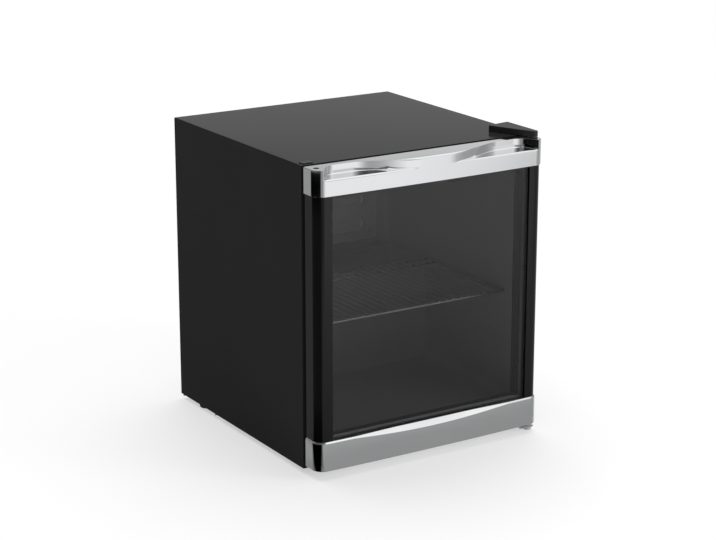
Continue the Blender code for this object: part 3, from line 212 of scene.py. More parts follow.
top_lamp = bpy.data.lights.new("top_lamp", "SUN")
top_lamp.energy, top_lamp.angle = TOP_ENERGY, radians(TOP_SPREAD)
aim(stand("top_lamp", top_lamp), TOP_PLACE, TOP_TARGET)
fill_lamp = bpy.data.lights.new("fill_lamp", "AREA")
fill_lamp.energy, fill_lamp.size = FILL_ENERGY, FILL_SIZE
fill = stand("fill_lamp", fill_lamp)
fill.visible_glossy = False
aim(fill, FILL_PLACE, FILL_TARGET)
print("lamps", TOP_ENERGY, FILL_ENERGY)

# %% [markdown]
# Bright metal needs darker things to mirror, or it looks like pale plastic. A photographer hangs cloth
# round such an object: pale at the front right, dark with a black band at the left, grey behind. This tent
# is seen by mirror rays alone. Each of its points carries a tone that is worked out from its place. Most
# tables go by compass angle, clockwise from straight behind. The table for the ground in front of the door
# goes by the way in front of it and holds a painted shadow of the cooler, darkest next to the door.
# LEFT_TONES goes by the distance from the door's left corner.

# %% The grey tent
TENT_ROUND, TENT_STEPS, TENT_LEVEL = 4.0, 120, 0.0015
TENT_HEART = (-0.200, -0.235)
GROUND_TONES = (
    (0, 0.261), (60, 0.435), (93, 0.435), (104, 0.313), (118, 0.348), (128, 0.452), (132, 0.609),
    (136, 0.722), (141, 0.8), (147, 0.844), (165, 0.844), (173, 0.731), (179, 0.609), (183, 0.505),
    (189, 0.348), (195, 0.252), (208, 0.252), (217, 0), (319, 0), (325, 0.287), (335, 0.287), (350, 0.174),
    (360, 0.261),
)
WALL_TONES = (
    (0, 0.244), (60, 0.261), (95, 0.217), (125, 0.435), (140, 0.739), (151, 0.739), (164, 0.392),
    (178, 0.122), (188, 0.05), (198, 0.17), (222, 0.17), (227, 0), (245, 0), (250, 0.17), (314, 0.17),
    (322, 0.174), (345, 0.191), (360, 0.244),
)
HIGH_TONES = (
    (0, 0.55), (60, 0.90), (150, 1.0), (165, 0.5), (180, 0.12), (300, 0.05), (330, 0.30), (360, 0.55),
)
STRIP_TONES = (
    (0, 0.435), (12, 0.626), (50, 0.626), (70, 0.261), (195, 0.217), (208, 0), (319, 0), (330, 0.191),
    (345, 0.191), (360, 0.435),
)
# Painted shadow of the cooler on the tent's ground: tones by the way in front of the door, darkest next to
# it.
PAINTED_SHADOW_TONES = ((0.0, 0.275), (0.10, 0.285), (0.20, 0.385), (0.76, 0.58), (1.30, 0.84))
LEFT_TONES = (
    (0.0, 0), (0.22, 0), (0.38, 0.10), (1.62, 0.10), (1.80, 0), (2.14, 0), (2.40, 0.22), (4.0, 0.22),
)
LEFT_START, LEFT_END = 208, 325
# How far the painted shadow in front of the door reaches, and how wide it blends out.
PAINTED_SHADOW_REACH, PAINTED_SHADOW_FADE = 0.6, 0.8
HIGH_START, HIGH_FADE = 25, 25
STRIP = (13, 19)
ELEVATIONS = (3, 9, *STRIP, 23, 33, 42, 50, 60, 70, 80, 86)
RINGS = [0.20, 0.23, 0.26, 0.30, 0.34, 0.38, 0.43, 0.49, 0.56, 0.65, 0.76, 0.9, 1.1, 1.4]
RINGS += [1.60 + 0.08 * i for i in range(13)] + [2.8, 3.2, TENT_ROUND]


def along(table, value):
    """A value read from a table of pairs, straight between them."""
    for (a, b), (c, d) in zip(table, table[1:]):
        if value <= c:
            return b + (d - b) * max(0, value - a) / (c - a)
    return table[-1][1]


def faded(value, start, span):
    """How far a value has come along a span, from nought to one."""
    return min(max((value - start) / span, 0), 1)


def ground_tone(x, y):
    dx, dy = x - TENT_HEART[0], y - TENT_HEART[1]
    angle, distance = degrees(atan2(dx, dy)) % 360, sqrt(dx * dx + dy * dy)
    far = along(GROUND_TONES, angle)
    if LEFT_START < angle < LEFT_END:
        return max(far, along(LEFT_TONES, distance))
    if dy > 0 or angle > LEFT_START:
        return far
    # Painted shadow: in front of the door the ground takes the dark tones next to the door, and further off
    # it blends into the lower of those and the compass tone.
    near, share = along(PAINTED_SHADOW_TONES, -dy), faded(distance, PAINTED_SHADOW_REACH, PAINTED_SHADOW_FADE)
    return near * (1 - share) + min(far, near) * share


def wall_tone(angle, elevation):
    low, high = along(WALL_TONES, angle), along(HIGH_TONES, angle)
    if elevation in STRIP:
        low = max(low, along(STRIP_TONES, angle))
    return low + (high - low) * faded(elevation, HIGH_START, HIGH_FADE)


angles = [360 * i / TENT_STEPS for i in range(TENT_STEPS)]
ways = [(sin(radians(angle)), cos(radians(angle))) for angle in angles]
points = [(radius * x, radius * y, TENT_LEVEL) for radius in RINGS for x, y in ways]
tones = [ground_tone(x, y) for x, y, z in points]
for elevation in ELEVATIONS:
    points += [(TENT_ROUND * x, TENT_ROUND * y, TENT_ROUND * tan(radians(elevation))) for x, y in ways]
    tones += [wall_tone(angle, elevation) for angle in angles]
tent_mesh = mesh_from("grey_tent", points, bands(len(RINGS) + len(ELEVATIONS), TENT_STEPS))
tent_mesh.attributes.new("tone", "FLOAT", "POINT").data.foreach_set("value", tones)
tent_paint, tree = bare_material("tent_cloth")
tone = place(tree, "ShaderNodeAttribute", attribute_name="tone")
cloth = place(tree, "ShaderNodeEmission", (("Strength", tone.outputs["Fac"]),))
place(tree, "ShaderNodeOutputMaterial", ((0, cloth.outputs[0]),))
tent_mesh.materials.append(tent_paint)
tent = stand("grey_tent", tent_mesh)
tent.visible_camera = tent.visible_diffuse = tent.visible_shadow = tent.visible_transmission = False
print("tent", len(points), "points")

# %% [markdown]
# ## Finishes
# No real surface is one flat colour. One node group gives each finish its life: slow patches that shift
# the tone and the polish a little, and a fine grain that becomes bump. Each finish places the group with
# its own values.

# %% The shared surface group
FLOAT_INPUTS = ("Tone", "Roughness", "Polish", "Patch", "Grain")


def new_tree(name, kind, inputs, outputs):
    """An empty tree with named sockets; returns it with what it is given and what it hands on."""
    tree = bpy.data.node_groups.new(name, kind)
    for way, sockets in (("INPUT", inputs), ("OUTPUT", outputs)):
        for label, sort in sockets:
            tree.interface.new_socket(label, in_out=way, socket_type="NodeSocket" + sort)
    return tree, place(tree, "NodeGroupInput").outputs, place(tree, "NodeGroupOutput").inputs


def drift(tree, noise, amount):
    """Noise brought to the range from minus amount to plus amount."""
    centred = sum_of(tree, "SUBTRACT", noise, 0.5)
    return sum_of(tree, "MULTIPLY", sum_of(tree, "MULTIPLY", centred, 2.0), amount)


surface_life, given, result = new_tree(
    "surface_life",
    "ShaderNodeTree",
    (("Vector", "Vector"), ("Colour", "Color"), *((label, "Float") for label in FLOAT_INPUTS)),
    (("Colour", "Color"), ("Roughness", "Float"), ("Height", "Float")),
)
g = surface_life
patches, grains = (
    place(g, "ShaderNodeTexNoise", (("Vector", given["Vector"]), ("Scale", given[scale]), ("Detail", detail)))
    for scale, detail in (("Patch", 3.0), ("Grain", 1.0))
)
brighter = sum_of(g, "ADD", drift(g, patches.outputs["Fac"], given["Tone"]), 1.0)
toned = place(g, "ShaderNodeVectorMath", ((0, given["Colour"]), ("Scale", brighter)), operation="SCALE")
rough = sum_of(g, "ADD", given["Roughness"], drift(g, patches.outputs["Fac"], given["Polish"]))
g.links.new(toned.outputs[0], result["Colour"])
g.links.new(rough, result["Roughness"])
g.links.new(grains.outputs["Fac"], result["Height"])
print("group", g.name, "with", len(g.nodes), "nodes")

# %% [markdown]
# A finish is a Principled shader fed by that group. Whatever is the same all over, such as how metallic
# it is, is set on the shader's own socket.

# %% Enamel, plastic and rubber
FINISHES = {}


def finish(name, colour, roughness, tone, polish, patch, grain, depth, **sockets):
    """One material from the shared group; any further words are sockets of the shader itself."""
    material = bpy.data.materials.new(name + "_finish")
    material.use_nodes = True
    tree = material.node_tree
    shader = tree.nodes["Principled BSDF"]
    values = {
        "Vector": place(tree, "ShaderNodeTexCoord").outputs["Object"],
        "Colour": (*colour, 1),
        "Tone": tone,
        "Roughness": roughness,
        "Polish": polish,
        "Patch": patch,
        "Grain": grain,
    }
    life = place(tree, "ShaderNodeGroup", values.items(), node_tree=surface_life).outputs
    bump = place(tree, "ShaderNodeBump", (("Height", life["Height"]), ("Distance", depth)))
    tree.links.new(life["Colour"], shader.inputs["Base Color"])
    tree.links.new(life["Roughness"], shader.inputs["Roughness"])
    tree.links.new(bump.outputs["Normal"], shader.inputs["Normal"])
    for label, value in sockets.items():
        shader.inputs[label.replace("_", " ")].default_value = value
    FINISHES[name] = material


finish("black_steel", (0.0175, 0.0175, 0.0182), 0.16, 0.10, 0.03, 7, 1600, 6e-6, Specular_IOR_Level=0.04)
finish("black_plastic", (0.016, 0.016, 0.017), 0.50, 0.12, 0.05, 20, 2200, 4e-5)
finish("black_gloss", (0.0022, 0.0022, 0.0024), 0.07, 0.10, 0.02, 12, 500, 2e-6, Specular_IOR_Level=0.41)
finish("liner_plastic", (0.18, 0.18, 0.185), 0.42, 0.08, 0.06, 9, 700, 2e-5)
finish("grey_plastic", (0.60, 0.60, 0.59), 0.46, 0.05, 0.05, 60, 1500, 3e-5)
finish("seal", (0.007, 0.007, 0.007), 0.66, 0.15, 0.08, 40, 1800, 3e-5)
finish("compressor_black", (0.013, 0.013, 0.014), 0.30, 0.12, 0.08, 25, 420, 6e-5)
finish("condenser_black", (0.017, 0.017, 0.017), 0.52, 0.15, 0.08, 60, 1300, 4e-5)
print("finishes", sorted(FINISHES))

# %% [markdown]
# Bare metals share the same group, with the shader set to metallic. Zinc plate breaks into pale crystals,
# so cells from a Voronoi texture tint it.

# %% Metals
finish("chrome", (0.92, 0.93, 0.94), 0.055, 0.02, 0.02, 14, 260, 1e-6, Metallic=1.0)
finish("shelf_wire", (0.48, 0.49, 0.51), 0.22, 0.06, 0.06, 60, 900, 8e-6, Metallic=1.0)
finish("copper", (0.70, 0.34, 0.20), 0.30, 0.16, 0.12, 35, 900, 1e-5, Metallic=1.0)
finish("aluminium", (0.74, 0.75, 0.77), 0.36, 0.06, 0.08, 22, 1300, 1e-5, Metallic=1.0)
finish("zinc", (0.60, 0.61, 0.63), 0.36, 0.08, 0.08, 30, 1000, 1e-5, Metallic=1.0)

CRYSTAL_SCALE, CRYSTAL_EDGE, CRYSTAL_DARK, CRYSTAL_LIGHT = 160.0, 0.8, 0.85, 1.1
tree = FINISHES["zinc"].node_tree
shader = tree.nodes["Principled BSDF"]
where = tree.nodes["Texture Coordinate"].outputs["Object"]
crystals = place(tree, "ShaderNodeTexVoronoi", (("Vector", where), ("Scale", CRYSTAL_SCALE)))
steps = (0, crystals.outputs["Distance"]), (2, CRYSTAL_EDGE), (3, CRYSTAL_DARK), (4, CRYSTAL_LIGHT)
shade = place(tree, "ShaderNodeMapRange", steps)
plain = shader.inputs["Base Color"].links[0].from_socket
tinted = place(tree, "ShaderNodeVectorMath", ((0, plain), ("Scale", shade.outputs[0])), operation="SCALE")
tree.links.new(tinted.outputs[0], shader.inputs["Base Color"])
print("metals done, finishes", len(FINISHES))

# %% [markdown]
# Smoked glass is a dark film that lets part of the light straight through. Transparency by alpha keeps
# the inside lit, because lamps shine through it, where refracting glass would hold their light back. The
# bar between the panes is dull metal. The foam lies hidden between the walls, and its bump is as coarse
# as the cells of blown foam.

# %% Glass, spacer bar and foam
finish("smoked_glass", (0.006, 0.006, 0.0065), 0.03, 0.05, 0.01, 6, 40, 1e-7, Alpha=0.20, IOR=2.17)
finish("clear_pane", (0.02, 0.022, 0.021), 0.03, 0.05, 0.01, 6, 40, 1e-7, Alpha=0.05, IOR=1.60)
finish("spacer", (0.13, 0.13, 0.133), 0.30, 0.10, 0.08, 60, 900, 1e-5, Metallic=1.0)
finish("foam", (0.74, 0.65, 0.42), 0.90, 0.12, 0.04, 30, 350, 3e-4)
print("finishes", len(FINISHES))

# %% [markdown]
# ## Shapes in few words
# Most moulded and turned pieces are a stack of rings, each a closed loop of points, joined by bands of
# faces. A tray goes up its outside, over the rim and down its inside; a foot is a stack of circles. One
# loft helper makes them all, with faces that point outwards.

# %% Helpers for rings and lofts
TINY = 1e-5
EDGE_STEPS = 3
FLUTED_FROM = 0.004


def mm(*rows):
    """A table that reads better in millimetres, in metres."""
    return [tuple(value / 1000 for value in row) for row in rows]


def quarter(steps):
    """One minus the cosine and one minus the sine, over a quarter turn."""
    turns = [pi / 2 * k / steps for k in range(steps + 1)]
    return [(1 - cos(a), 1 - sin(a)) for a in turns]


def loft(name, rings):
    """A closed skin through rings that run anticlockwise from above, the lowest first."""
    count, size = len(rings[0]), len(rings) * len(rings[0])
    bottom, top = tuple(reversed(range(count))), tuple(range(size - count, size))
    faces = [bottom, *bands(len(rings), count), top]
    return mesh_from(name, [point for ring in rings for point in ring], faces)


def circle(radius, z, count=40, flutes=0, depth=0.0, squash=1.0):
    """One ring; flutes press shallow waves into it."""
    ring = []
    for i in range(count):
        a = 2 * pi * i / count
        r = radius - depth * (0.5 - 0.5 * cos(flutes * a))
        ring.append((r * cos(a), squash * r * sin(a), z))
    return ring


def rounded(low, high, radius, z, steps=5):
    """A rectangle with round corners at one height."""
    room = min(high[0] - low[0], high[1] - low[1]) / 2 - TINY
    radius = max(min(radius, room), TINY)
    ring = []
    for cx, cy, start in (
        (high[0] - radius, high[1] - radius, 0),
        (low[0] + radius, high[1] - radius, 1),
        (low[0] + radius, low[1] + radius, 2),
        (high[0] - radius, low[1] + radius, 3),
    ):
        for i in range(steps + 1):
            a = (start + i / steps) * pi / 2
            ring.append((cx + radius * cos(a), cy + radius * sin(a), z))
    return ring


def inset_ring(low, high, inset, radius, z):
    return rounded((low[0] + inset, low[1] + inset), (high[0] - inset, high[1] - inset), radius - inset, z)


def block(name, low, high, radius, edge):
    """A moulded block with round corners and softly rounded top and bottom edges."""
    stack = [(edge * up, low[2] + edge * out) for out, up in quarter(EDGE_STEPS)]
    stack += [(edge * out, high[2] - edge * up) for out, up in quarter(EDGE_STEPS)]
    return loft(name, [inset_ring(low, high, inset, radius, z) for inset, z in stack])


def turned(name, profile, at, turn=None, count=40, flutes=0, depth=0.0):
    """A profile of radius and height pairs from the bottom up, spun about Z and then turned and placed."""
    rings = [circle(max(r, TINY), z, count, flutes if r > FLUTED_FROM else 0, depth) for r, z in profile]
    mesh = loft(name, rings)
    if turn:
        mesh.transform(turn)
    mesh.transform(Matrix.Translation(at))
    return mesh


print("loft helpers ready")

# %% [markdown]
# A finished piece sits at the origin with its place in its mesh. It is shaded smooth with its corners
# kept sharp, rides on the body that carries it, and stands for the solid that it refines, if there is one.
# Smooth shading would bend the mirror image on a flat face that ends in a narrow bevel, so the normals are
# weighed by area: the big flat faces keep theirs, and only the bevel turns.

# %% Helpers that finish a piece
SLOT_OF = {row["node"]: row["material_slot"] for row in frame["record"]["subparts"]}
BODY_OF = {node: body for body, nodes in frame["record"]["behaviour"]["bodies"].items() for node in nodes}
REPLACED = set()
NORMAL_WEIGHT = 100
WELD, FLAT_ANGLE, SOFT_ANGLE = 1e-5, 0.5, 40


def baked(thing):
    """A plain mesh of an object with its modifiers."""
    return bpy.data.meshes.new_from_object(thing.evaluated_get(bpy.context.evaluated_depsgraph_get()))


def plain_mesh(name, shape):
    """A mesh from an edit mesh, which is then freed."""
    mesh = bpy.data.meshes.new(name)
    shape.to_mesh(mesh)
    shape.free()
    return mesh


def settle(name, mesh, *nodes, like=None, look=None, angle=32, shift=True):
    """Shades, paints and places a mesh given in cabinet measures; body and slot come from the record."""
    assert mesh.polygons, name
    model = like or nodes[0]
    if shift:
        mesh.transform(SHIFT)
    mesh.materials.clear()
    mesh.materials.append(FINISHES[look or SLOT_OF[model]])
    mesh.shade_smooth()
    mesh.set_sharp_from_angle(angle=radians(angle))
    piece = stand(name, mesh)
    weigh = piece.modifiers.new("weigh", "WEIGHTED_NORMAL")
    weigh.keep_sharp, weigh.weight = True, NORMAL_WEIGHT
    piece.data = baked(piece)
    piece.modifiers.remove(weigh)
    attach(piece, BODY_OF[model])
    if nodes:
        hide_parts(*nodes)
        REPLACED.update(nodes)
    print(name, len(mesh.polygons), "faces")


def soften(node, width, segments=2, look=None):
    """Stands a copy of a solid in its place, with its flat faces whole again and its edges rounded off."""
    shape = bmesh.new()
    shape.from_mesh(frame["nodes"][node].data)
    bmesh.ops.remove_doubles(shape, verts=shape.verts, dist=WELD)
    bmesh.ops.dissolve_limit(shape, angle_limit=radians(FLAT_ANGLE), verts=shape.verts, edges=shape.edges)
    edges = [e for e in shape.edges if e.is_manifold and e.calc_face_angle() > radians(SOFT_ANGLE)]
    bmesh.ops.bevel(
        shape, geom=edges, offset=width, segments=segments, profile=0.5, affect="EDGES", clamp_overlap=True
    )
    name = node + "_softened"
    settle(name, plain_mesh(name, shape), node, look=look, shift=False)


def carve(mesh, *cutters):
    """Takes closed cutter meshes out of a mesh and returns the plain result."""
    body, *tools = [stand("scratch", shape) for shape in (mesh, *cutters)]
    for tool in tools:
        body.modifiers.new("carve", "BOOLEAN").object = tool
    result = baked(body)
    for used in (body, *tools):
        bpy.data.objects.remove(used)
    return result


def cutter_box(low, high):
    return loft("cutter", [rounded(low, high, 0, z, 1) for z in (low[2], high[2])])


print("piece helpers ready")

# %% [markdown]
# ## Sizes of the door and the cabinet
# Places are counted as in the part's source: x from the cabinet's middle, y from its front plane with the
# back positive, z from its bottom edge. Lengths are in metres, and a table inside mm is in millimetres.

# %% Main sizes
HALF, DEPTH, HEIGHT = 0.215, 0.420, 0.493
DOOR_BACK, DOOR_FRONT, DOOR_BOW, DOOR_CORNER = -0.007, -0.046, 0.003, 0.0186
DOOR_LOW, DOOR_TOP = 0.0065, 0.4925
HANDLE_LOW, LEDGE, TRIM_TOP = 0.4505, 0.4774, 0.0550
GLASS_FRONT, GLASS_BACK, PLATE_LINE = -0.041, -0.021, -0.011
HINGE = (0.2075, -0.019)
FLAT = HALF - DOOR_CORNER
GLASS_ROOM, BEAD_ROOM, PLATE_ROOM = 0.1903, 0.1963, 0.2093
FIT = 0.0003
SIDE_STEPS, BACK_STEPS = 4, 12


def front_line(x):
    """The bowed front of the chrome trims."""
    share = min(abs(x) / FLAT, 1)
    return DOOR_FRONT - DOOR_BOW * (1 - share * share)


def ease(low, high, value):
    """A soft step from nought to one."""
    t = faded(value, low, high - low)
    return t * t * (3 - 2 * t)


def trim_outline(front_steps, corner_steps, extra=()):
    """The trim's outline from above, anticlockwise: each point with its way inwards."""
    side = DOOR_FRONT + DOOR_CORNER - DOOR_BACK
    turns = [pi / 2 * i / corner_steps for i in range(corner_steps)]

    def corner(x, start):
        ways = [(cos(start + turn), sin(start + turn)) for turn in turns]
        return [(x + DOOR_CORNER * u, DOOR_FRONT + DOOR_CORNER * (1 + w), -u, -w) for u, w in ways]

    across = {round(-FLAT + 2 * FLAT * i / front_steps, 5) for i in range(front_steps)}
    across |= {round(x, 5) for x in extra}
    return [
        *((-HALF, DOOR_BACK + side * i / SIDE_STEPS, 1, 0) for i in range(SIDE_STEPS)),
        *corner(-FLAT, pi),
        *((x, front_line(x), 0, 1) for x in sorted(across)),
        *corner(FLAT, 1.5 * pi),
        *((HALF, DOOR_FRONT + DOOR_CORNER - side * i / SIDE_STEPS, -1, 0) for i in range(SIDE_STEPS)),
        *((HALF * (1 - 2 * i / BACK_STEPS), DOOR_BACK, 0, -1) for i in range(BACK_STEPS)),
    ]


print("trim outline", len(trim_outline(160, 24)), "points")

# %% [markdown]
# ## The chrome handle
# The cap across the door's top is one plated moulding. Its lower half is a plain bowed band. Above it a
# wave runs back from the middle into a finger pocket on each side. The pocket's floor starts behind the
# band's rounded rim. Subdivision would blur the rim, so each ring of a loft is computed instead: at every
# point round the outline a profile climbs the band, turns over the rim, crosses the floor and rises up the
# wave.

# %% Profile of the handle
WAVE_START, WAVE_TURN, WAVE_END = 0.024, 0.106, 0.136
POCKET_DEPTH, END_START, END_ROUND, END_TURN = 0.0275, 0.1693, 0.0253, radians(50)
RIM, RIM_ROUND = 0.0045, 0.0032
FLOOR_RISE, RISE_START, RISE_END = 0.0012, 0.006, 0.020
FOOT_ROUND, CREST_ROUND, CORNER_ROUND, BACK_ROUND = 0.0015, 0.0003, 0.0016, 0.0006
BAND_EDGE, PROUD_ROUND = 0.0006, 0.0034
SCOOP_REACH, BLEND_REACH, BLEND_RISE = 0.018, 0.003, 0.003
WALL_STEP, WALL_SHARE = 0.0005, 0.6
RIM_SHARE, TURN_SHARE, FOOT_SHARE = 0.5, 0.7, 0.8


def pocket_wall(x):
    """The wall behind the pockets: flush in the middle, a wave back, a bend, a straight slant forward."""
    x = abs(x)
    share = faded(x, WAVE_START, WAVE_END - WAVE_START)
    bend = (WAVE_TURN - WAVE_START) / (WAVE_END - WAVE_START)
    if share < bend:
        fall = bend * (1 - cos(pi / 2 * share / bend))
    else:
        fall = 1 - (1 - bend) * (1 - cos(pi / 2 * (1 - share) / (1 - bend)))
    past = max(0, x - END_START)
    bent = min(past, END_ROUND * sin(END_TURN))
    forward = END_ROUND - sqrt(END_ROUND * END_ROUND - bent * bent) + (past - bent) * tan(END_TURN)
    return front_line(min(x, END_START)) + POCKET_DEPTH * fall - forward


def handle_profile(reach, round_top, scoop=0.0):
    """Pairs of a way inwards and a height, for a pocket of this reach: nought where there is none."""
    rim = min(RIM, RIM_SHARE * reach)
    turn = min(RIM_ROUND, TURN_SHARE * rim)
    foot = min(FOOT_ROUND + scoop * max(0, SCOOP_REACH - reach), FOOT_SHARE * (reach - rim))
    level = LEDGE + FLOOR_RISE * ease(RISE_START, RISE_END, reach)
    ledge = [(turn * out, LEDGE - turn * up) for out, up in quarter(6)]
    ledge.append((rim, LEDGE))
    ledge += [(reach - foot * up, level + foot * out) for out, up in quarter(5)]
    last = len(ledge) - 1
    plain = [(reach * ease(0, last, k), LEDGE - RIM_ROUND + BLEND_RISE * k / last) for k in range(last + 1)]
    share = ease(0, BLEND_REACH, reach)
    profile = [(BAND_EDGE, HANDLE_LOW), (0, HANDLE_LOW + BAND_EDGE), (0, (HANDLE_LOW + LEDGE) / 2)]
    for (a, b), (c, d) in zip(plain, ledge):
        profile.append((a + (c - a) * share, b + (d - b) * share))
    profile.append((reach, max(profile[-1][1] + WALL_STEP, LEDGE + WALL_SHARE * (DOOR_TOP - LEDGE))))
    profile += [(reach + round_top * out, DOOR_TOP - round_top * up) for out, up in quarter(7)]
    return profile


print("handle profile", len(handle_profile(0.02, CREST_ROUND)), "points")

# %% [markdown]
# The profile is set round the outline. In the corners the pocket still runs straight back, so the way
# inwards turns gently from the corner's own direction to straight back where a pocket begins. The grooves
# for the glass, its bead and the back plate, and the holes for the hinge bush and for a spare pin, are
# carved at the end.

# %% The handle trim
TURN_REACH, PROUD_REACH, CORNER_MARGIN, SCOOP = 0.006, 0.008, 0.004, 0.6
CUT_PAST, GLASS_DEEP, BEAD_DEEP, PLATE_GAP = 0.004, 0.0043, 0.0103, 0.003
BUSH_RADIUS, BUSH_DEEP, SPARE_DEEP = 0.0048, 0.0123, 0.0060
SPARE_HOLE = (-0.2032, -0.0250)
END_STEPS = 24


def trim_rings(outline, profile_of):
    """Rings of a trim from a profile at each point of its outline."""
    columns = []
    for x, y, dx, dy in outline:
        (dx, dy), profile = profile_of(x, y, dx, dy)
        columns.append([(x + dx * inwards, y + dy * inwards, z) for inwards, z in profile])
    return [list(ring) for ring in zip(*columns)]


def handle_at(x, y, dx, dy):
    if dy < 0:
        return Vector((dx, dy)), handle_profile(0.0, BACK_ROUND / 2)
    reach = max(0.0, pocket_wall(x) - y) if dy > 0 else 0.0
    way = Vector((dx, dy)).lerp(Vector((0, 1)), ease(0, TURN_REACH, reach)).normalized()
    proud = ease(PROUD_REACH, 0.0, reach) if abs(x) < WAVE_TURN else 0
    corner = ease(FLAT, HALF - CORNER_MARGIN, abs(x))
    round_top = CREST_ROUND + (PROUD_ROUND - CREST_ROUND) * proud + (CORNER_ROUND - CREST_ROUND) * corner
    return way, handle_profile(reach, round_top, SCOOP if abs(x) < END_START else 0.0)


def glazing_cutters(level, direction, plate_end):
    """Room in a trim for the glass, its bead and the back plate."""
    mouth = level - direction * CUT_PAST

    def slab(half_width, front, back, end):
        low, high = sorted((mouth, end))
        return cutter_box((-half_width, front, low), (half_width, back, high))

    return (
        slab(GLASS_ROOM, GLASS_FRONT - FIT, GLASS_BACK + FIT, level + direction * GLASS_DEEP),
        slab(BEAD_ROOM, GLASS_BACK, PLATE_LINE, level + direction * BEAD_DEEP),
        slab(PLATE_ROOM, PLATE_LINE - FIT, DOOR_BACK + CUT_PAST, plate_end),
    )


def bush_cutter(low, high, at=HINGE):
    return turned("cutter", [(BUSH_RADIUS, low), (BUSH_RADIUS, high)], (*at, 0), count=24)


pocket_ends = [
    side * (END_START + (FLAT - END_START) * k / END_STEPS) for side in (-1, 1) for k in range(END_STEPS)
]
handle_mesh = carve(
    loft("handle", trim_rings(trim_outline(220, 60, pocket_ends), handle_at)),
    *glazing_cutters(HANDLE_LOW, 1, DOOR_TOP - PLATE_GAP),
    bush_cutter(DOOR_TOP - BUSH_DEEP, DOOR_TOP + CUT_PAST),
    bush_cutter(DOOR_TOP - SPARE_DEEP, DOOR_TOP + CUT_PAST, SPARE_HOLE),
)
settle("chrome_handle", handle_mesh, "handle_trim", angle=38)

# %% [markdown]
# ## The chrome trim at the bottom
# The lower cap has the same outline. A long shallow chamfer, deepest in the middle and narrow at the ends,
# runs along its upper edge and catches the light from above.

# %% The bottom trim
LIP, LENS, LENS_END, LENS_REACH, LENS_POWER = 0.0020, 0.0084, 0.150, 0.0062, 1.15
LENS_SLOPE, LOW_BUSH_DEEP = 0.9, 0.015


def chamfer_height(x):
    share = min(abs(x) / LENS_END, 1)
    return LIP + (LENS - LIP) * (1 - share * share) ** LENS_POWER


def bottom_at(x, y, dx, dy):
    chamfer = chamfer_height(x) if dy == 1 else BACK_ROUND if dy < 0 else LIP
    start, reach = TRIM_TOP - chamfer, min(LENS_SLOPE * chamfer, LENS_REACH)
    profile = [
        (BAND_EDGE, DOOR_LOW),
        (0, DOOR_LOW + BAND_EDGE),
        (0, 0.5 * (DOOR_LOW + start)),
        (0, start - 0.0008),
        (0.0002, start),
        (0.08 * chamfer + 0.0004, start + 0.06 * chamfer + 0.0003),
        (reach, TRIM_TOP - 0.04 * chamfer - 0.0002),
        (reach + 0.0002, TRIM_TOP - 0.00005),
        (reach + 0.0008, TRIM_TOP),
    ]
    return Vector((dx, dy)), profile


trim_mesh = carve(
    loft("bottom_cap", trim_rings(trim_outline(160, 32), bottom_at)),
    *glazing_cutters(TRIM_TOP, -1, DOOR_LOW + PLATE_GAP),
    bush_cutter(DOOR_LOW - CUT_PAST, DOOR_LOW + LOW_BUSH_DEEP),
)
settle("chrome_bottom", trim_mesh, "bottom_trim", angle=20)

# %% [markdown]
# ## Stiles, glass and the back of the door
# The uprights are black profiles, rounded at the front like the trims. Their outline is drawn once,
# clockwise, for the right one, so it is reversed there. A changed sign mirrors it for the left one, and
# that turns the loop round by itself.

# %% The stiles
STILE_HALF, OPENING, STILE_FRONT, STILE_CORNER = 0.213, 0.186, -0.044, 0.0166
STILE_LOW, STILE_TOP = TRIM_TOP + FIT, HANDLE_LOW - FIT
GROOVE, PLATE_GROOVE = GLASS_FRONT - FIT, PLATE_LINE - FIT
stile_line = [(STILE_HALF, DOOR_BACK)]
stile_line += [(STILE_HALF - STILE_CORNER * out, STILE_FRONT + STILE_CORNER * up) for out, up in quarter(28)]
stile_line += [
    (OPENING + 0.0012, STILE_FRONT), (OPENING + 0.0004, STILE_FRONT + 0.0004),
    (OPENING, STILE_FRONT + 0.0012), (OPENING, GROOVE), (GLASS_ROOM, GROOVE), (GLASS_ROOM, GLASS_BACK),
    (BEAD_ROOM, GLASS_BACK), (BEAD_ROOM, PLATE_GROOVE), (PLATE_ROOM, PLATE_GROOVE), (PLATE_ROOM, DOOR_BACK),
]
for name, side in (("left_stile", -1), ("right_stile", 1)):
    line = [(side * x, y) for x, y in stile_line]
    if side > 0:
        line.reverse()
    mesh = loft(name, [[(x, y, z) for x, y in line] for z in (STILE_LOW, STILE_TOP)])
    settle(name + "_moulding", mesh, name)

# %% [markdown]
# The panes are float glass with ground edges, and the plate on the door's back is a plastic moulding. Both
# are right in the solids, so copies of those get rounded edges.

# %% The panes and the plate behind them
soften("outer_glass", 0.0006)
soften("inner_glass", 0.0006, look="clear_pane")
soften("inner_frame", 0.0009, 3)

# %% [markdown]
# The seal is a soft extrusion. A wide bag holds a magnet against the cabinet, and a narrow neck joins it
# to the door and lets it give. Its section is a closed loop, and each of its points runs once round the
# door as a rectangle with round corners.

# %% The door seal
SEAL_HALF, SEAL_LOW, SEAL_HIGH, SEAL_CORNER = 0.200, 0.020, 0.473, 0.010
CORNER_SHRINK, CORNER_STEPS = 0.6, 8
SEAL_SECTION = mm(
    (2, -6.7), (1.8, -5.6), (3, -4.9), (3, -4.3), (0.3, -3.6), (0, -1.4), (0.6, -0.5), (1.6, -0.3),
    (10.4, -0.3), (11.4, -0.5), (12, -1.4), (11.7, -3.6), (8.8, -4.3), (8.8, -4.9), (10.2, -5.6), (10, -6.7),
)


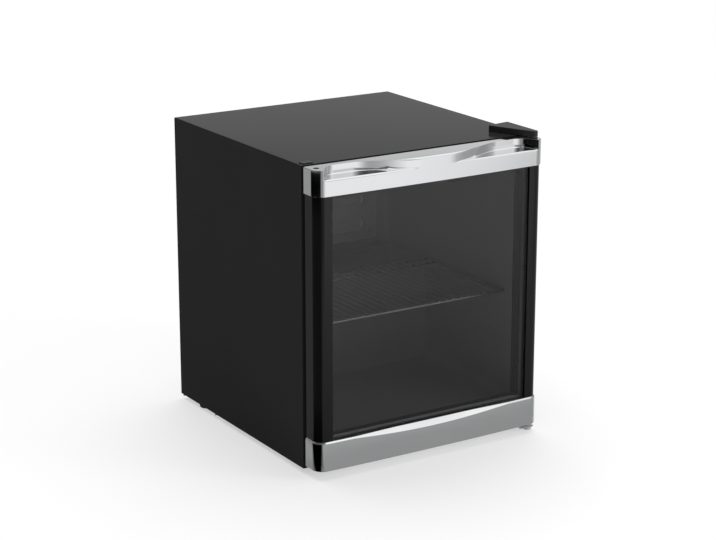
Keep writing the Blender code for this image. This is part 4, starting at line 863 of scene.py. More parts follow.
def run_round(name, section, half, low, high, corner):
    """A closed section of insets and depths, run once round a rectangle."""
    loops = []
    for inset, y in section:
        near, far = (-half + inset, low + inset), (half - inset, high - inset)
        ring = rounded(near, far, corner - CORNER_SHRINK * inset, y, CORNER_STEPS)
        loops.append([(x, y, z) for x, z, y in ring])
    count, faces = len(loops[0]), []
    for k in range(len(loops)):
        here, there = k * count, (k + 1) % len(loops) * count
        for i in range(count):
            j = (i + 1) % count
            faces.append((here + i, there + i, there + j, here + j))
    shape = bmesh.new()
    shape.from_mesh(mesh_from(name, [point for loop in loops for point in loop], faces))
    bmesh.ops.recalc_face_normals(shape, faces=shape.faces)
    return plain_mesh(name, shape)


seal_mesh = run_round("seal", SEAL_SECTION, SEAL_HALF, SEAL_LOW, SEAL_HIGH, SEAL_CORNER)
settle("magnetic_seal", seal_mesh, "door_gasket", angle=50)

# %% [markdown]
# Between the panes runs a metal bar, glued to both with black sealant. Its inner edge is bevelled towards
# the front, so along the bottom it draws a light line behind the glass.

# %% The spacer bar and its sealant
BAR_HALF, BAR_LOW, BAR_HIGH, BAR_FRONT, BAR_BACK = 0.190, 0.051, 0.4545, -0.0366, -0.0254
BAR_INSET, BAR_EDGE, BAR_END, BAR_BEVEL, BAR_CORNER = 0.0055, 0.0076, 0.0100, 0.0024, 0.001
BAR_SECTION = (
    (BAR_INSET, BAR_FRONT), (BAR_EDGE, BAR_FRONT), (BAR_END, BAR_FRONT + BAR_BEVEL), (BAR_END, BAR_BACK),
    (BAR_INSET, BAR_BACK),
)
GLUE_SECTION = ((0.0, BAR_FRONT), (BAR_INSET, BAR_FRONT), (BAR_INSET, BAR_BACK), (0.0, BAR_BACK))
bar_size = BAR_HALF, BAR_LOW, BAR_HIGH, BAR_CORNER
settle("spacer_bar", run_round("bar", BAR_SECTION, *bar_size), "glass_spacer", look="spacer")
settle("pane_sealant", run_round("glue", GLUE_SECTION, *bar_size), like="door_gasket")

# %% [markdown]
# The door can be hung the other way round, so the handle has a spare pin hole on its left, closed by a
# small black cup.

# %% The plug in the spare pin hole
plug_profile = mm(
    (0.1, -5.8), (4.7, -5.8), (4.7, -0.1), (4.5, 0), (4.3, -0.2), (4, -4.2), (0.1, -4.4),
)
spare_plug = turned("spare_plug", plug_profile, (*SPARE_HOLE, DOOR_TOP))
settle("spare_pin_plug", spare_plug, like="inner_frame")

# %% [markdown]
# ## The cabinet
# One painted sheet is folded over both sides and the top, with a flange at the front for the seal. A fold
# in sheet steel has a small radius, and that radius draws the thin light line along each edge. The outside
# is built as single faces, the folds are bevelled, and the sheet then gets its thickness.

# %% The folded sheet
FRONT_FOLD, FOLD_STEPS, FOLD_ANGLE, MEET = 0.3, 4, 1, 1e-6
SHEET, FOLD, MOUTH_HALF, MOUTH_TOP = 0.0008, 0.0012, 0.1923, 0.4593


def quad(shape, *corners):
    shape.faces.new([shape.verts.new(corner) for corner in corners])


def thickened(name, shape, wall, fold=0.0):
    """A sheet with its weighted edges bevelled and its thickness added on the inside."""
    sheet = stand(name, plain_mesh(name, shape))
    if fold:
        step = sheet.modifiers.new("folds", "BEVEL")
        step.limit_method, step.width, step.segments = "WEIGHT", fold, FOLD_STEPS
    step = sheet.modifiers.new("thickness", "SOLIDIFY")
    step.thickness, step.offset = wall, -1
    mesh = baked(sheet)
    bpy.data.objects.remove(sheet)
    return mesh


shape = bmesh.new()
columns = (-HALF, -MOUTH_HALF, MOUTH_HALF, HALF)
for left, right in zip(columns, columns[1:]):
    quad(shape, (left, 0, MOUTH_TOP), (right, 0, MOUTH_TOP), (right, 0, HEIGHT), (left, 0, HEIGHT))
    quad(shape, (left, 0, HEIGHT), (right, 0, HEIGHT), (right, DEPTH, HEIGHT), (left, DEPTH, HEIGHT))
    if left != -MOUTH_HALF:
        quad(shape, (left, 0, 0), (right, 0, 0), (right, 0, MOUTH_TOP), (left, 0, MOUTH_TOP))
for low, high in ((0, MOUTH_TOP), (MOUTH_TOP, HEIGHT)):
    quad(shape, (-HALF, DEPTH, low), (-HALF, 0, low), (-HALF, 0, high), (-HALF, DEPTH, high))
    quad(shape, (HALF, 0, low), (HALF, DEPTH, low), (HALF, DEPTH, high), (HALF, 0, high))
bmesh.ops.remove_doubles(shape, verts=shape.verts, dist=MEET)
bmesh.ops.recalc_face_normals(shape, faces=shape.faces)
weights = shape.edges.layers.float.new("bevel_weight_edge")
for edge in shape.edges:
    if edge.is_manifold and edge.calc_face_angle() > FOLD_ANGLE:
        at_front = all(abs(vert.co.y) < MEET for vert in edge.verts)
        edge[weights] = FRONT_FOLD if at_front else 1.0
settle("folded_sheet", thickened("wrap", shape, SHEET, FOLD), "outer_wrap")

# %% [markdown]
# ## The liner
# The inside is one sheet of plastic, drawn into a mould, so every corner is round and the lip at the mouth
# rolls over. The side view is extruded with its mouth left open, and a flange grows outwards from the
# mouth. The folds and the lip are bevelled with their own radii before the wall gets its thickness.

# %% The liner's shell
INNER_HALF, CEILING, FLOOR_LEVEL, BACK_WALL = 0.190, 0.457, 0.042, 0.376
HUMP_FRONT, HUMP_TOP, LINER_FRONT = 0.258, 0.226, 0.0011
LINER_WALL, LINER_ROUND, LIP_ROUND, FLANGE = 0.002, 0.012, 0.004, 0.008
LEVEL_ENOUGH, LARGE_ENOUGH = 0.9, 0.01
side_view = [
    (LINER_FRONT, FLOOR_LEVEL), (HUMP_FRONT, FLOOR_LEVEL), (HUMP_FRONT, HUMP_TOP), (BACK_WALL, HUMP_TOP),
    (BACK_WALL, CEILING), (LINER_FRONT, CEILING),
]
shape = bmesh.new()
ends = [[shape.verts.new((x, y, z)) for y, z in side_view] for x in (-INNER_HALF, INNER_HALF)]
for end in ends:
    shape.faces.new(end)
for i in range(len(side_view) - 1):
    shape.faces.new((ends[0][i], ends[0][i + 1], ends[1][i + 1], ends[1][i]))
bmesh.ops.recalc_face_normals(shape, faces=shape.faces)
folds = [e for e in shape.edges if not e.is_boundary]
bmesh.ops.bevel(shape, geom=folds, offset=LINER_ROUND, segments=6, profile=0.5, affect="EDGES")
mouth = [e for e in shape.edges if e.is_boundary]
lip_verts = {v for e in mouth for v in e.verts}
grown = bmesh.ops.extrude_edge_only(shape, edges=mouth)["geom"]
middle = (FLOOR_LEVEL + CEILING) / 2
for vert in (item for item in grown if isinstance(item, bmesh.types.BMVert)):
    vert.co.x *= 1 + FLANGE / INNER_HALF
    vert.co.z = middle + (vert.co.z - middle) * (1 + FLANGE / (CEILING - middle))
lip = [e for e in shape.edges if e.verts[0] in lip_verts and e.verts[1] in lip_verts and not e.is_boundary]
bmesh.ops.bevel(shape, geom=lip, offset=LIP_ROUND, segments=4, profile=0.5, affect="EDGES")
bmesh.ops.recalc_face_normals(shape, faces=shape.faces)
flats = [f for f in shape.faces if abs(f.normal.z) > LEVEL_ENOUGH and f.calc_area() > LARGE_ENOUGH]
if min(flats, key=lambda f: f.calc_center_median().z).normal.z < 0:
    bmesh.ops.reverse_faces(shape, faces=shape.faces)
settle("formed_liner", thickened("liner_shell", shape, LINER_WALL), "liner", angle=45)

# %% [markdown]
# Two ledges on the side walls carry the shelf. They belong to the same plastic sheet and have soft edges.

# %% The shelf ledges
SHELF_LEVEL, SHELF_THICK = 0.227, 0.004
LEDGE_WIDTH, LEDGE_BITE, LEDGE_HIGH, LEDGE_FRONT, LEDGE_BACK = 0.012, 0.0008, 0.008, 0.020, 0.246
ledge_top = SHELF_LEVEL - SHELF_THICK - FIT
for name, side in (("left_ledge", -1), ("right_ledge", 1)):
    low_x, high_x = sorted((side * (INNER_HALF - LEDGE_WIDTH), side * (INNER_HALF + LEDGE_BITE)))
    low, high = (low_x, LEDGE_FRONT, ledge_top - LEDGE_HIGH), (high_x, LEDGE_BACK, ledge_top)
    settle(name, block(name, low, high, 0.003, 0.0015), like="liner")

# %% [markdown]
# ## Trees that grow wires and pipes
# Geometry Nodes repeat things from a few numbers. The first tree lays a row of wires over cross rods: the
# rods stand on the points that it is given. The second draws a round pipe along a line of points and
# bends its corners. Both end in real geometry with its finish.

# %% The wire tree
ROD_SIDES = 12
GEOMETRY = ("Geometry", "Geometry")


def geometry_tree(name, *inputs):
    return new_tree(name, "GeometryNodeTree", (GEOMETRY, *inputs), (GEOMETRY,))


def end_tree(tree, result, geometry, finish_socket):
    real = place(tree, "GeometryNodeRealizeInstances", ((0, geometry),))
    sockets = ("Geometry", real.outputs[0]), ("Material", finish_socket)
    tree.links.new(place(tree, "GeometryNodeSetMaterial", sockets).outputs[0], result["Geometry"])


def swept(tree, curve, radius, sides):
    """A round skin along a curve, closed at its ends."""
    ring = place(tree, "GeometryNodeCurvePrimitiveCircle", (("Resolution", sides), ("Radius", radius)))
    sockets = ("Curve", curve.outputs[0]), ("Profile Curve", ring.outputs[0]), ("Fill Caps", True)
    return place(tree, "GeometryNodeCurveToMesh", sockets).outputs[0]


def rod(tree, start, end, radius):
    """A straight round rod between two points."""
    line = place(tree, "GeometryNodeCurvePrimitiveLine", ((0, start), (1, end)))
    return swept(tree, line, radius, ROD_SIDES)


def vector(tree, x=0.0, y=0.0, z=0.0):
    return place(tree, "ShaderNodeCombineXYZ", ((0, x), (1, y), (2, z))).outputs[0]


sizes = (("Width", "Float"), ("Length", "Float"), ("Count", "Int"), ("Wire", "Float"), ("Rod", "Float"))
wire_tree, given, result = geometry_tree("wire_grille", *sizes, ("Finish", "Material"))
t = wire_tree
half_width = sum_of(t, "MULTIPLY", given["Width"], 0.5)
minus_half = sum_of(t, "MULTIPLY", given["Width"], -0.5)
rise = sum_of(t, "ADD", given["Wire"], given["Rod"])
start, end = vector(t, minus_half, 0.0, rise), vector(t, half_width, 0.0, rise)
sockets = ("Count", given["Count"]), ("Start Location", start), ("Offset", end)
row = place(t, "GeometryNodeMeshLine", sockets, mode="END_POINTS")
wire = rod(t, (0, 0, 0), vector(t, 0.0, given["Length"], 0.0), given["Wire"])
cross = rod(t, vector(t, minus_half), vector(t, half_width), given["Rod"])
wires = place(t, "GeometryNodeInstanceOnPoints", (("Points", row.outputs[0]), ("Instance", wire)))
rods = place(t, "GeometryNodeInstanceOnPoints", (("Points", given["Geometry"]), ("Instance", cross)))
both = place(t, "GeometryNodeJoinGeometry")
for part in (wires, rods):
    t.links.new(part.outputs[0], both.inputs[0])
end_tree(t, result, both.outputs[0], given["Finish"])
print("tree", t.name, len(t.nodes), "nodes")

# %% The pipe tree
BEND_STEPS = 7
sizes = (("Radius", "Float"), ("Bend", "Float"), ("Sides", "Int"))
pipe_tree, given, result = geometry_tree("bent_pipe", *sizes, ("Finish", "Material"))
t = pipe_tree
line = place(t, "GeometryNodeMeshToCurve", (("Mesh", given["Geometry"]),))
sockets = ("Curve", line.outputs[0]), ("Radius", given["Bend"]), ("Limit Radius", True), ("Count", BEND_STEPS)
bend = place(t, "GeometryNodeFilletCurve", sockets, mode="POLY")
end_tree(t, result, swept(t, bend, given["Radius"], given["Sides"]), given["Finish"])
print("tree", t.name, len(t.nodes), "nodes")

# %% [markdown]
# A tree works on a scratch object. Its inputs are set by their identifiers before the object is first
# evaluated; the result becomes a plain mesh and the scratch object goes.

# %% Helpers that grow a mesh


def grow(name, tree, points, edges, **values):
    scratch = stand(name + "_scratch", mesh_from(name, points, [], edges))
    step = scratch.modifiers.new("grow", "NODES")
    step.node_group = tree
    for item in tree.interface.items_tree:
        if item.in_out == "INPUT" and item.name in values:
            step[item.identifier] = values[item.name]
    mesh = baked(scratch)
    mesh.name = name
    bpy.data.objects.remove(scratch)
    return mesh


def pipe_mesh(name, path, radius, bend, slot, sides=14):
    edges = [(i, i + 1) for i in range(len(path) - 1)]
    return grow(name, pipe_tree, path, edges, Radius=radius, Bend=bend, Sides=sides, Finish=FINISHES[slot])


def zigzag(side, y, top, pitch, runs):
    """Points to and fro and downwards, from the top left."""
    path = []
    for run in range(runs):
        ends = (-side, side) if run % 2 == 0 else (side, -side)
        path += [(x, y, top - run * pitch) for x in ends]
    return path


print("grow helpers ready")

# %% [markdown]
# ## The shelf
# A plated grille: thin wires run from front to back, a finger's width apart, over one thick rod at the
# front and two at the back.

# %% The wire shelf
SHELF_FRONT, SHELF_BACK, SHELF_HALF, MIDDLE_ROD = 0.020, 0.251, 0.187, 0.2045
SHELF_WIRES, WIRE_RADIUS, ROD_RADIUS = 27, 0.0011, 0.0020
shelf_length = SHELF_BACK - SHELF_FRONT
rod_places = [(0, y, 0) for y in (ROD_RADIUS, MIDDLE_ROD, shelf_length - ROD_RADIUS)]
shelf_mesh = grow(
    "shelf", wire_tree, rod_places, [], Width=2 * SHELF_HALF, Length=shelf_length, Count=SHELF_WIRES,
    Wire=WIRE_RADIUS, Rod=ROD_RADIUS, Finish=FINISHES["shelf_wire"],
)
shelf_mesh.transform(Matrix.Translation((0, SHELF_FRONT, SHELF_LEVEL - SHELF_THICK + ROD_RADIUS)))
settle("wire_shelf", shelf_mesh, "shelf", angle=60)

# %% [markdown]
# ## More ways to shape a piece
# These helpers make a plate that stands upright, an open tray, one mesh out of several, and a flat outline
# with its corners rounded.

# %% Helpers for plates, trays and outlines
TO_BACK = Matrix.Rotation(-pi / 2, 4, "X")
TO_LEFT = Matrix.Rotation(-pi / 2, 4, "Y")
CURVE_STEPS, SHARPEST, SIDE_SHARE = 4, 0.2, 0.4
TRAY_ROUND, TRAY_STEP, TRAY_RIM = 0.0020, 0.0006, 0.0004


def standing(name, low, high, radius, edge):
    """A block whose round corners are seen from the front."""
    mesh = block(name, (low[0], low[2], -high[1]), (high[0], high[2], -low[1]), radius, edge)
    mesh.transform(Matrix.Rotation(pi / 2, 4, "X"))
    return mesh


def tray(name, low, high, wall, radius):
    """Up the outside, over the rim and down the inside."""
    base, rim = low[2], high[2]
    stack = (
        (TRAY_ROUND, base), (TRAY_STEP, base + TRAY_STEP), (0, base + TRAY_ROUND),
        (0, rim - TRAY_STEP), (TRAY_RIM, rim), (wall - TRAY_RIM, rim), (wall, rim - TRAY_STEP),
        (wall, base + wall + TRAY_ROUND), (wall + TRAY_STEP, base + wall + TRAY_STEP),
        (wall + TRAY_ROUND, base + wall),
    )
    return loft(name, [inset_ring(low, high, inset, radius, z) for inset, z in stack])


def joined(name, *meshes):
    shape = bmesh.new()
    for mesh in meshes:
        shape.from_mesh(mesh)
    return plain_mesh(name, shape)


def soft_outline(corners, inset, radius, z):
    """An anticlockwise outline moved inwards, each of its corners drawn as a short curve."""
    moved = []
    for i, here in enumerate(corners):
        here = Vector(here)
        before, after = Vector(corners[i - 1]), Vector(corners[(i + 1) % len(corners)])
        u, w = (here - before).normalized(), (after - here).normalized()
        normal_u, normal_w = Vector((-u.y, u.x)), Vector((-w.y, w.x))
        bisector = (normal_u + normal_w).normalized()
        moved.append(here + bisector * inset / max(bisector.dot(normal_u), SHARPEST))
    ring = []
    for i, here in enumerate(moved):
        before, after = moved[i - 1], moved[(i + 1) % len(moved)]
        start = here + (before - here).normalized() * min(radius, SIDE_SHARE * (before - here).length)
        end = here + (after - here).normalized() * min(radius, SIDE_SHARE * (after - here).length)
        for k in range(CURVE_STEPS + 1):
            t = k / CURVE_STEPS
            spot = start * (1 - t) ** 2 + here * 2 * t * (1 - t) + end * t * t
            ring.append((spot.x, spot.y, z))
    return ring


print("plate and tray helpers ready")

# %% [markdown]
# ## The cold plate and its tray
# Two aluminium sheets are bonded, and a channel for the refrigerant is blown up between them. The channel
# is a bent pipe, flattened until it is a low ridge on the plate. Bosses hold the plate off the back wall,
# and a tray below it catches the drips.

# %% The cold plate
PLATE_SIDE, PLATE_FRONT, PLATE_BACK, PLATE_LOW, PLATE_HIGH = 0.150, 0.356, 0.358, 0.245, 0.440
BOSS_INSET, BOSS_RADIUS, BOSS_LENGTH = 0.018, 0.006, 0.0177
RUNS, RUN_SIDE, RUN_START, RUN_PITCH = 8, 0.122, 0.020, 0.0222
CHANNEL_RADIUS, CHANNEL_BEND, CHANNEL_FLAT = 0.0042, 0.0108, 0.20
low, high = (-PLATE_SIDE, PLATE_FRONT, PLATE_LOW), (PLATE_SIDE, PLATE_BACK, PLATE_HIGH)
cold_sheet = standing("cold_sheet", low, high, 0.006, 0.0006)
turns = zigzag(RUN_SIDE, 0, PLATE_HIGH - RUN_START, RUN_PITCH, RUNS)
channel = pipe_mesh("channel", turns, CHANNEL_RADIUS, CHANNEL_BEND, "aluminium", 12)
channel.transform(Matrix.Translation((0, PLATE_FRONT, 0)) @ Matrix.Diagonal((1, CHANNEL_FLAT, 1, 1)))
boss_levels = PLATE_LOW + BOSS_INSET, PLATE_HIGH - BOSS_INSET
boss_spots = [(x, z) for x in (-PLATE_SIDE + BOSS_INSET, PLATE_SIDE - BOSS_INSET) for z in boss_levels]
boss_profile = [(BOSS_RADIUS, 0), (BOSS_RADIUS, BOSS_LENGTH)]
bosses = [turned("boss", boss_profile, (x, PLATE_BACK, z), TO_BACK, 20) for x, z in boss_spots]
settle("cold_plate", joined("cold_plate", cold_sheet, channel, *bosses), "evaporator_plate")
drip_mesh = tray("drip_tray", (-0.160, 0.3287, 0.2263), (0.160, 0.3637, 0.2380), 0.0015, 0.008)
settle("drip_catcher", drip_mesh, "drip_tray")

# %% [markdown]
# ## The thermostat
# A dark housing on the right wall with a pale, fluted knob. Marks in a wide arc show how far it is turned:
# they are short ridges, set out by angle. The knob turns about an axis that points to the left, so it is
# built upwards and then laid over.

# %% The thermostat
KNOB_PLACE = (0.1637, 0.190, 0.4140)
AT_KNOB = Matrix.Translation(KNOB_PLACE) @ TO_LEFT
MARKS, FIRST_MARK, MARK_STEP = 7, -120, 40
MARK_START, MARK_END, LONGER = 0.0195, 0.0225, 0.001
housing = block("housing", (0.1637, 0.150, 0.3865), (0.1897, 0.230, 0.4415), 0.004, 0.003)
collar_profile = mm((17.6, 0), (18.4, 0), (18.4, 0.6), (18.0, 0.9), (17.6, 0.6))
collar = turned("collar", collar_profile, KNOB_PLACE, TO_LEFT)
marks = []
for i in range(MARKS):
    end = MARK_END + LONGER * (i % 3 == 0)
    mark = block("mark", (MARK_START, -0.0005, -0.0002), (end, 0.0005, 0.0005), 0.0004, 0.0002)
    mark.transform(AT_KNOB @ Matrix.Rotation(radians(FIRST_MARK + MARK_STEP * i), 4, "Z"))
    marks.append(mark)
settle("thermostat_case", joined("case", housing, collar, *marks), "thermostat_housing")

knob_profile = mm(
    (2.8, 0.3), (15, 0.3), (15.8, 1), (15.5, 4), (14.8, 9), (14.2, 11.2), (12.8, 12.7), (11, 13.3), (2, 13.3),
)
knob_cap = turned("knob", knob_profile, (0, 0, 0), count=96, flutes=24, depth=0.0006)
grip = block("grip", (-0.0040, -0.0015, 0.0110), (0.0126, 0.0015, 0.0160), 0.0012, 0.0007)
knob_mesh = joined("knob", knob_cap, grip)
knob_mesh.transform(AT_KNOB)
settle("thermostat_dial", knob_mesh, "thermostat_knob", angle=40)

# %% [markdown]
# ## Hinge cover and plug
# A wedge of black plastic hides the upper hinge plate. It is a thin cap, open below: the loft starts at
# its ceiling inside, goes down to the rim and comes up the outside.

# %% The hinge cover and the corner plug
COVER_CORNERS = ((0.170, 0.050), (0.205, -0.028), (0.214, -0.028), (0.214, 0.057))
COVER_LOW, COVER_TOP, COVER_WALL, COVER_EDGE, COVER_ROUND = 0.4933, 0.5030, 0.0015, 0.0012, 0.003
cover_rings = [soft_outline(COVER_CORNERS, COVER_WALL, 0.002, z) for z in (COVER_TOP - COVER_WALL, COVER_LOW)]
cover_rings.append(soft_outline(COVER_CORNERS, 0, COVER_ROUND, COVER_LOW))
for out, up in quarter(4):
    level = COVER_TOP - COVER_EDGE * up
    cover_rings.append(soft_outline(COVER_CORNERS, COVER_EDGE * out, COVER_ROUND, level))
settle("hinge_cap", loft("hinge_cap", cover_rings), "hinge_cover")
plug_mesh = block("corner_cap", (-0.208, 0.007, COVER_LOW), (-0.188, 0.021, 0.4943), 0.003, 0.0005)
settle("corner_cap", plug_mesh, "corner_plug")

# %% [markdown]
# ## The compressor and what stands round it
# The pump is welded from two drawn steel cups that are oval from above, and a seam runs round its middle.
# It is a stack of rings squashed to the oval. Rubber grommets under its base keep its hum away from the
# cabinet.

# %% The compressor
PUMP, PUMP_SQUASH, GROMMET_WAY = (-0.030, 0.356), 0.052 / 0.072, (0.075, 0.0355)
pump_profile = mm(
    (34, 19.1), (52, 19.7), (62, 22.5), (67.5, 29), (69.5, 40), (70, 70), (70.2, 79), (70.8, 79.6),
    (71.9, 80), (72, 80.6), (72, 83.4), (71.9, 84), (70.8, 84.4), (70.2, 85), (69.8, 95), (69.2, 118),
    (67.2, 132), (62.5, 141.5), (54, 147), (42, 149.4), (26, 150.1),
)
pump_mesh = loft("pump", [circle(r, z, 72, squash=PUMP_SQUASH) for r, z in pump_profile])
pump_mesh.transform(Matrix.Translation((*PUMP, 0)))
settle("compressor_shell", pump_mesh, "compressor", angle=40)
soften("compressor_base", 0.0012)
rubber = mm(
    (8.6, 1.8), (9.8, 2.2), (10, 3.6), (9.4, 5.6), (8, 7.4), (8, 10), (9.4, 11.8), (10, 13.6), (9.8, 15),
    (8.6, 15.5),
)
for number, (x, y) in enumerate(((x, y) for x in (-1, 1) for y in (-1, 1)), 1):
    spot = (PUMP[0] + x * GROMMET_WAY[0], PUMP[1] + y * GROMMET_WAY[1], 0)
    settle(f"rubber_grommet_{number}", turned("grommet", rubber, spot), f"grommet_{number}", angle=60)

# %% The relay cover, the tray and the spout
relay_mesh = block("relay", (0.0423, 0.334, 0.055), (0.0823, 0.378, 0.115), 0.004, 0.003)
band = block("band", (0.0440, 0.3336, 0.080), (0.0827, 0.3784, 0.086), 0.0042, 0.0006)
settle("relay_box", joined("relay_box", relay_mesh, band), "relay_cover")
evaporation_mesh = tray("water_tray", (-0.090, 0.312, 0.1504), (0.030, 0.400, 0.1734), 0.0015, 0.010)
settle("water_tray", evaporation_mesh, "evaporation_tray")
spout_profile = mm(
    (4, 172), (4, 167.7), (5, 167.7), (5.4, 168.2), (5.8, 180), (6, 190), (6, 197.7),
)
settle("drain_nozzle", turned("spout", spout_profile, (0, PUMP[1], 0)), "drain_spout")

# %% [markdown]
# ## Pipes
# Copper pipes leave the pump: the hot gas goes to the coil on the back, the liquid comes down through a
# filter and a thin capillary, and the cold gas comes back. Each is one path of points that the pipe tree
# bends and thickens.

# %% Copper pipes and the filter
FILTER_X, FILTER_Y = 0.180, 0.4067
PIPES = {
    "suction_pipe": (0.004, 0.014, mm(
        (-30, 408.6, 100), (-30, 417.6, 100), (96, 417.6, 100), (96, 356, 128), (96, 356, 197.7),
    )),
    "discharge_pipe": (0.003, 0.028, mm(
        (-102.6, 356, 100), (-195, 356, 100), (-195, 435.2, 100), (-195, 435.2, 155.7),
    )),
    "capillary_pipe": (0.0012, 0.014, mm(
        (180, 406.7, 61.7), (180, 406.7, 34), (138, 406.7, 34), (138, 406.7, 100), (138, 356, 114),
        (138, 356, 197.7),
    )),
}
for name, (radius, bend, path) in PIPES.items():
    settle(name + "_bent", pipe_mesh(name, path, radius, bend, "copper"), name, angle=60)
drier_profile = mm(
    (2, 62), (2.7, 62.2), (3, 65), (4.2, 67.2), (6.8, 69.2), (8, 72.2), (8, 80), (7.6, 80.6), (7.6, 81.4),
    (8, 82), (8, 132), (7.6, 132.6), (7.6, 133.4), (8, 134), (8, 141.8), (6.8, 144.8), (4.2, 146.8), (3, 149),
    (2.7, 151.8), (2, 152),
)
settle("filter_body", turned("filter", drier_profile, (FILTER_X, FILTER_Y, 0)), "filter_drier", angle=45)

# %% [markdown]
# ## The condenser
# The hot gas gives off its heat in a long coil on the back. Wires welded across the coil spread the heat.
# The coil is one path for the pipe tree; the wires come from the tree that made the shelf.

# %% The coil and its wires
COIL_Y, COIL_TOP, COIL_PITCH, COIL_SIDE, RISER = 0.4352, 0.462, 0.03025, 0.180, -0.195
COIL_RUNS, COIL_RADIUS = 9, 0.0025
GRILLE = {"Width": 0.2975, "Length": 0.272, "Count": 25, "Wire": 0.001, "Rod": 0.001}
GRILLE_RODS, GRILLE_PLACE = [(0, 0.007, 0), (0, 0.265, 0)], (0, 0.437, 0.477)
coil_path = [(RISER, COIL_Y, 0.156), (RISER, COIL_Y, COIL_TOP)]
coil_path += zigzag(COIL_SIDE, COIL_Y, COIL_TOP, COIL_PITCH, COIL_RUNS)[1:]
coil_path += [(COIL_SIDE, COIL_Y, 0.170), (COIL_SIDE, FILTER_Y, 0.1663), (COIL_SIDE, FILTER_Y, 0.1523)]
coil_mesh = pipe_mesh("coil", coil_path, COIL_RADIUS, COIL_PITCH / 2, "condenser_black")
settle("condenser_pipe", coil_mesh, "condenser_coil", angle=60)
grille_mesh = grow("grille", wire_tree, GRILLE_RODS, [], **GRILLE, Finish=FINISHES["condenser_black"])
grille_mesh.transform(Matrix.Translation(GRILLE_PLACE) @ TO_BACK)
settle("condenser_grille", grille_mesh, "condenser_wires", angle=60)
for number in range(1, 5):
    soften(f"condenser_clip_{number}", 0.0015, 3)

# %% [markdown]
# ## Sheets, bracket and feet
# The remaining sheet parts are right in the solids and only need their cut edges eased. The rubber gland
# and the feet are turned, and the two levelling feet at the front have a knurled rim for the fingers.

# %% Sheets, gland and feet
for node in ("back_panel", "base_panel", "compressor_plate", "cord_bracket", "lower_hinge_plate"):
    soften(node, 0.0003)
gland_profile = mm(
    (3.7, -6.1), (9.8, -6.1), (10.5, -5.4), (10.5, -1.6), (9.8, -1.1), (7.5, -1.1), (7.5, 1.1), (9.8, 1.1),
    (10.5, 1.6), (10, 4.6), (8.8, 6.1), (3.7, 6.1), (3.6, 3),
)
settle("cord_bush", turned("gland", gland_profile, (0.110, 0.41275, 0.028), TO_BACK), "cord_gland", angle=45)
rear_profile = mm(
    (8, -8), (8.5, -8.5), (11, -8.5), (11.9, -8), (12.4, -7), (13.8, -1.2), (14, -0.8), (13.6, -0.3),
)
for name, x in (("rear_foot_left", -0.198), ("rear_foot_right", 0.198)):
    settle(name + "_rubber", turned(name, rear_profile, (x, PUMP[1], 0)), name, angle=40)
for name, (x, y), seat in (
    ("levelling_foot_left", (-0.185, 0.030), -0.3), ("levelling_foot_right", (0.2065, -0.027), -3.6),
):
    knurl = mm(
        (5.6, -8.5), (6.6, -8.3), (7.0, -7.8), (7.0, seat - 0.6),
        (6.6, seat), (3.1, seat), (3.0, 2.6), (2.6, 3.0),
    )
    foot_mesh = turned(name, knurl, (x, y, 0), count=96, flutes=16, depth=0.0006)
    settle(name + "_knurled", foot_mesh, name, angle=40)

# %% [markdown]
# ## Screws
# Pan heads with a cross recess hold the back panel, the cold plate and the lower hinge. One head is made
# and a tree repeats it on a list of points. Each head is spun by its own random angle, because nobody
# stops every screw at the same turn; the seed is fixed so that it always comes out alike.

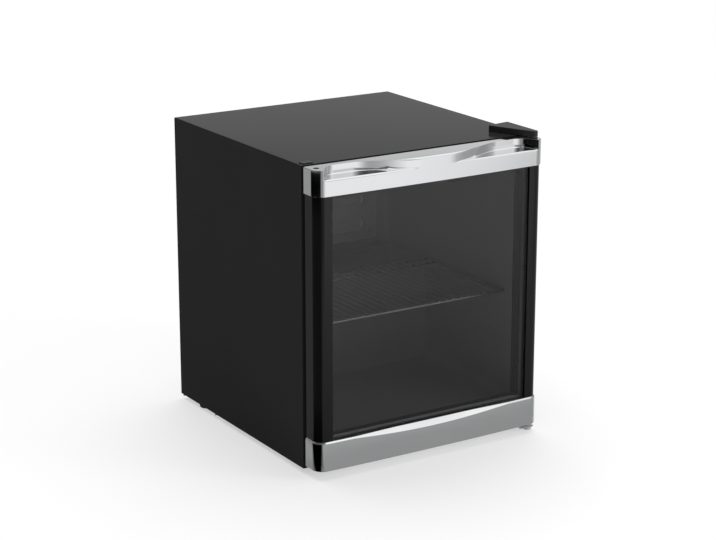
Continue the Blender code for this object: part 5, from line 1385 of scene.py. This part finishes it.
# %% The screw tree
inputs = (("Head", "Object"), ("Turn", "Rotation"), ("Finish", "Material"))
screw_tree, given, result = geometry_tree("screw_row", *inputs)
t = screw_tree
head_shape = place(t, "GeometryNodeObjectInfo", (("Object", given["Head"]),))
sockets = ("Min", 0.0), ("Max", pi), ("Seed", 4)
spin = place(t, "FunctionNodeRandomValue", sockets, data_type="FLOAT").outputs["Value"]
about = place(t, "FunctionNodeAxisAngleToRotation", (("Axis", (0, 0, 1)), ("Angle", spin))).outputs[0]
sockets = ("Rotation", given["Turn"]), ("Rotate By", about)
turned_by = place(t, "FunctionNodeRotateRotation", sockets, rotation_space="LOCAL").outputs[0]
shape = head_shape.outputs["Geometry"]
sockets = ("Points", given["Geometry"]), ("Instance", shape), ("Rotation", turned_by)
heads = place(t, "GeometryNodeInstanceOnPoints", sockets)
end_tree(t, result, heads.outputs[0], given["Finish"])
print("tree", t.name, len(t.nodes), "nodes")

# %% The screws
SLOT_LONG, SLOT_WIDE, SLOT_LOW, SLOT_HIGH = 0.0019, 0.0003, 0.0008, 0.003
head_profile = mm((3.0, 0), (3.2, 0.3), (3.0, 0.8), (2.4, 1.3), (1.4, 1.6), (0.3, 1.7))
head_mesh = turned("head", head_profile, (0, 0, 0), count=24)
cross = (SLOT_LONG, SLOT_WIDE), (SLOT_WIDE, SLOT_LONG)
slots = [cutter_box((-a, -b, SLOT_LOW), (a, b, SLOT_HIGH)) for a, b in cross]
head = stand("head", carve(head_mesh, *slots))
panel_spots = [(x, DEPTH, z) for x in (-0.2075, 0.2075) for z in (0.214, 0.300, 0.390, 0.478)]
panel_spots += [(-0.07, DEPTH, 0.4865), (0.07, DEPTH, 0.4865)]
ROWS = {
    "panel": (panel_spots, (-pi / 2, 0, 0)),
    "plate": ([(x, PLATE_FRONT, z) for x, z in boss_spots], (pi / 2, 0, 0)),
    "hinge": ([(0.197, 0.022, -0.0033), (0.197, 0.050, -0.0033)], (pi, 0, 0)),
}
rows = [
    grow("screws_" + key, screw_tree, spots, [], Head=head, Turn=turn, Finish=FINISHES["zinc"])
    for key, (spots, turn) in ROWS.items()
]
bpy.data.objects.remove(head)
settle("screws", joined("screws", *rows), like="lower_hinge_plate")

# %% [markdown]
# ## Solids that stay
# Some solids need no finer shape: the foam between the walls, the hinge pins and bushes, and the plate
# under the hinge cover. They keep their mesh and get the finish of their slot.

# %% Finishes for the solids that stay
for name, node in frame["nodes"].items():
    if name not in REPLACED:
        node.data.materials.clear()
        node.data.materials.append(FINISHES[SLOT_OF[name]])
print("solids kept", sorted(set(frame["nodes"]) - REPLACED))
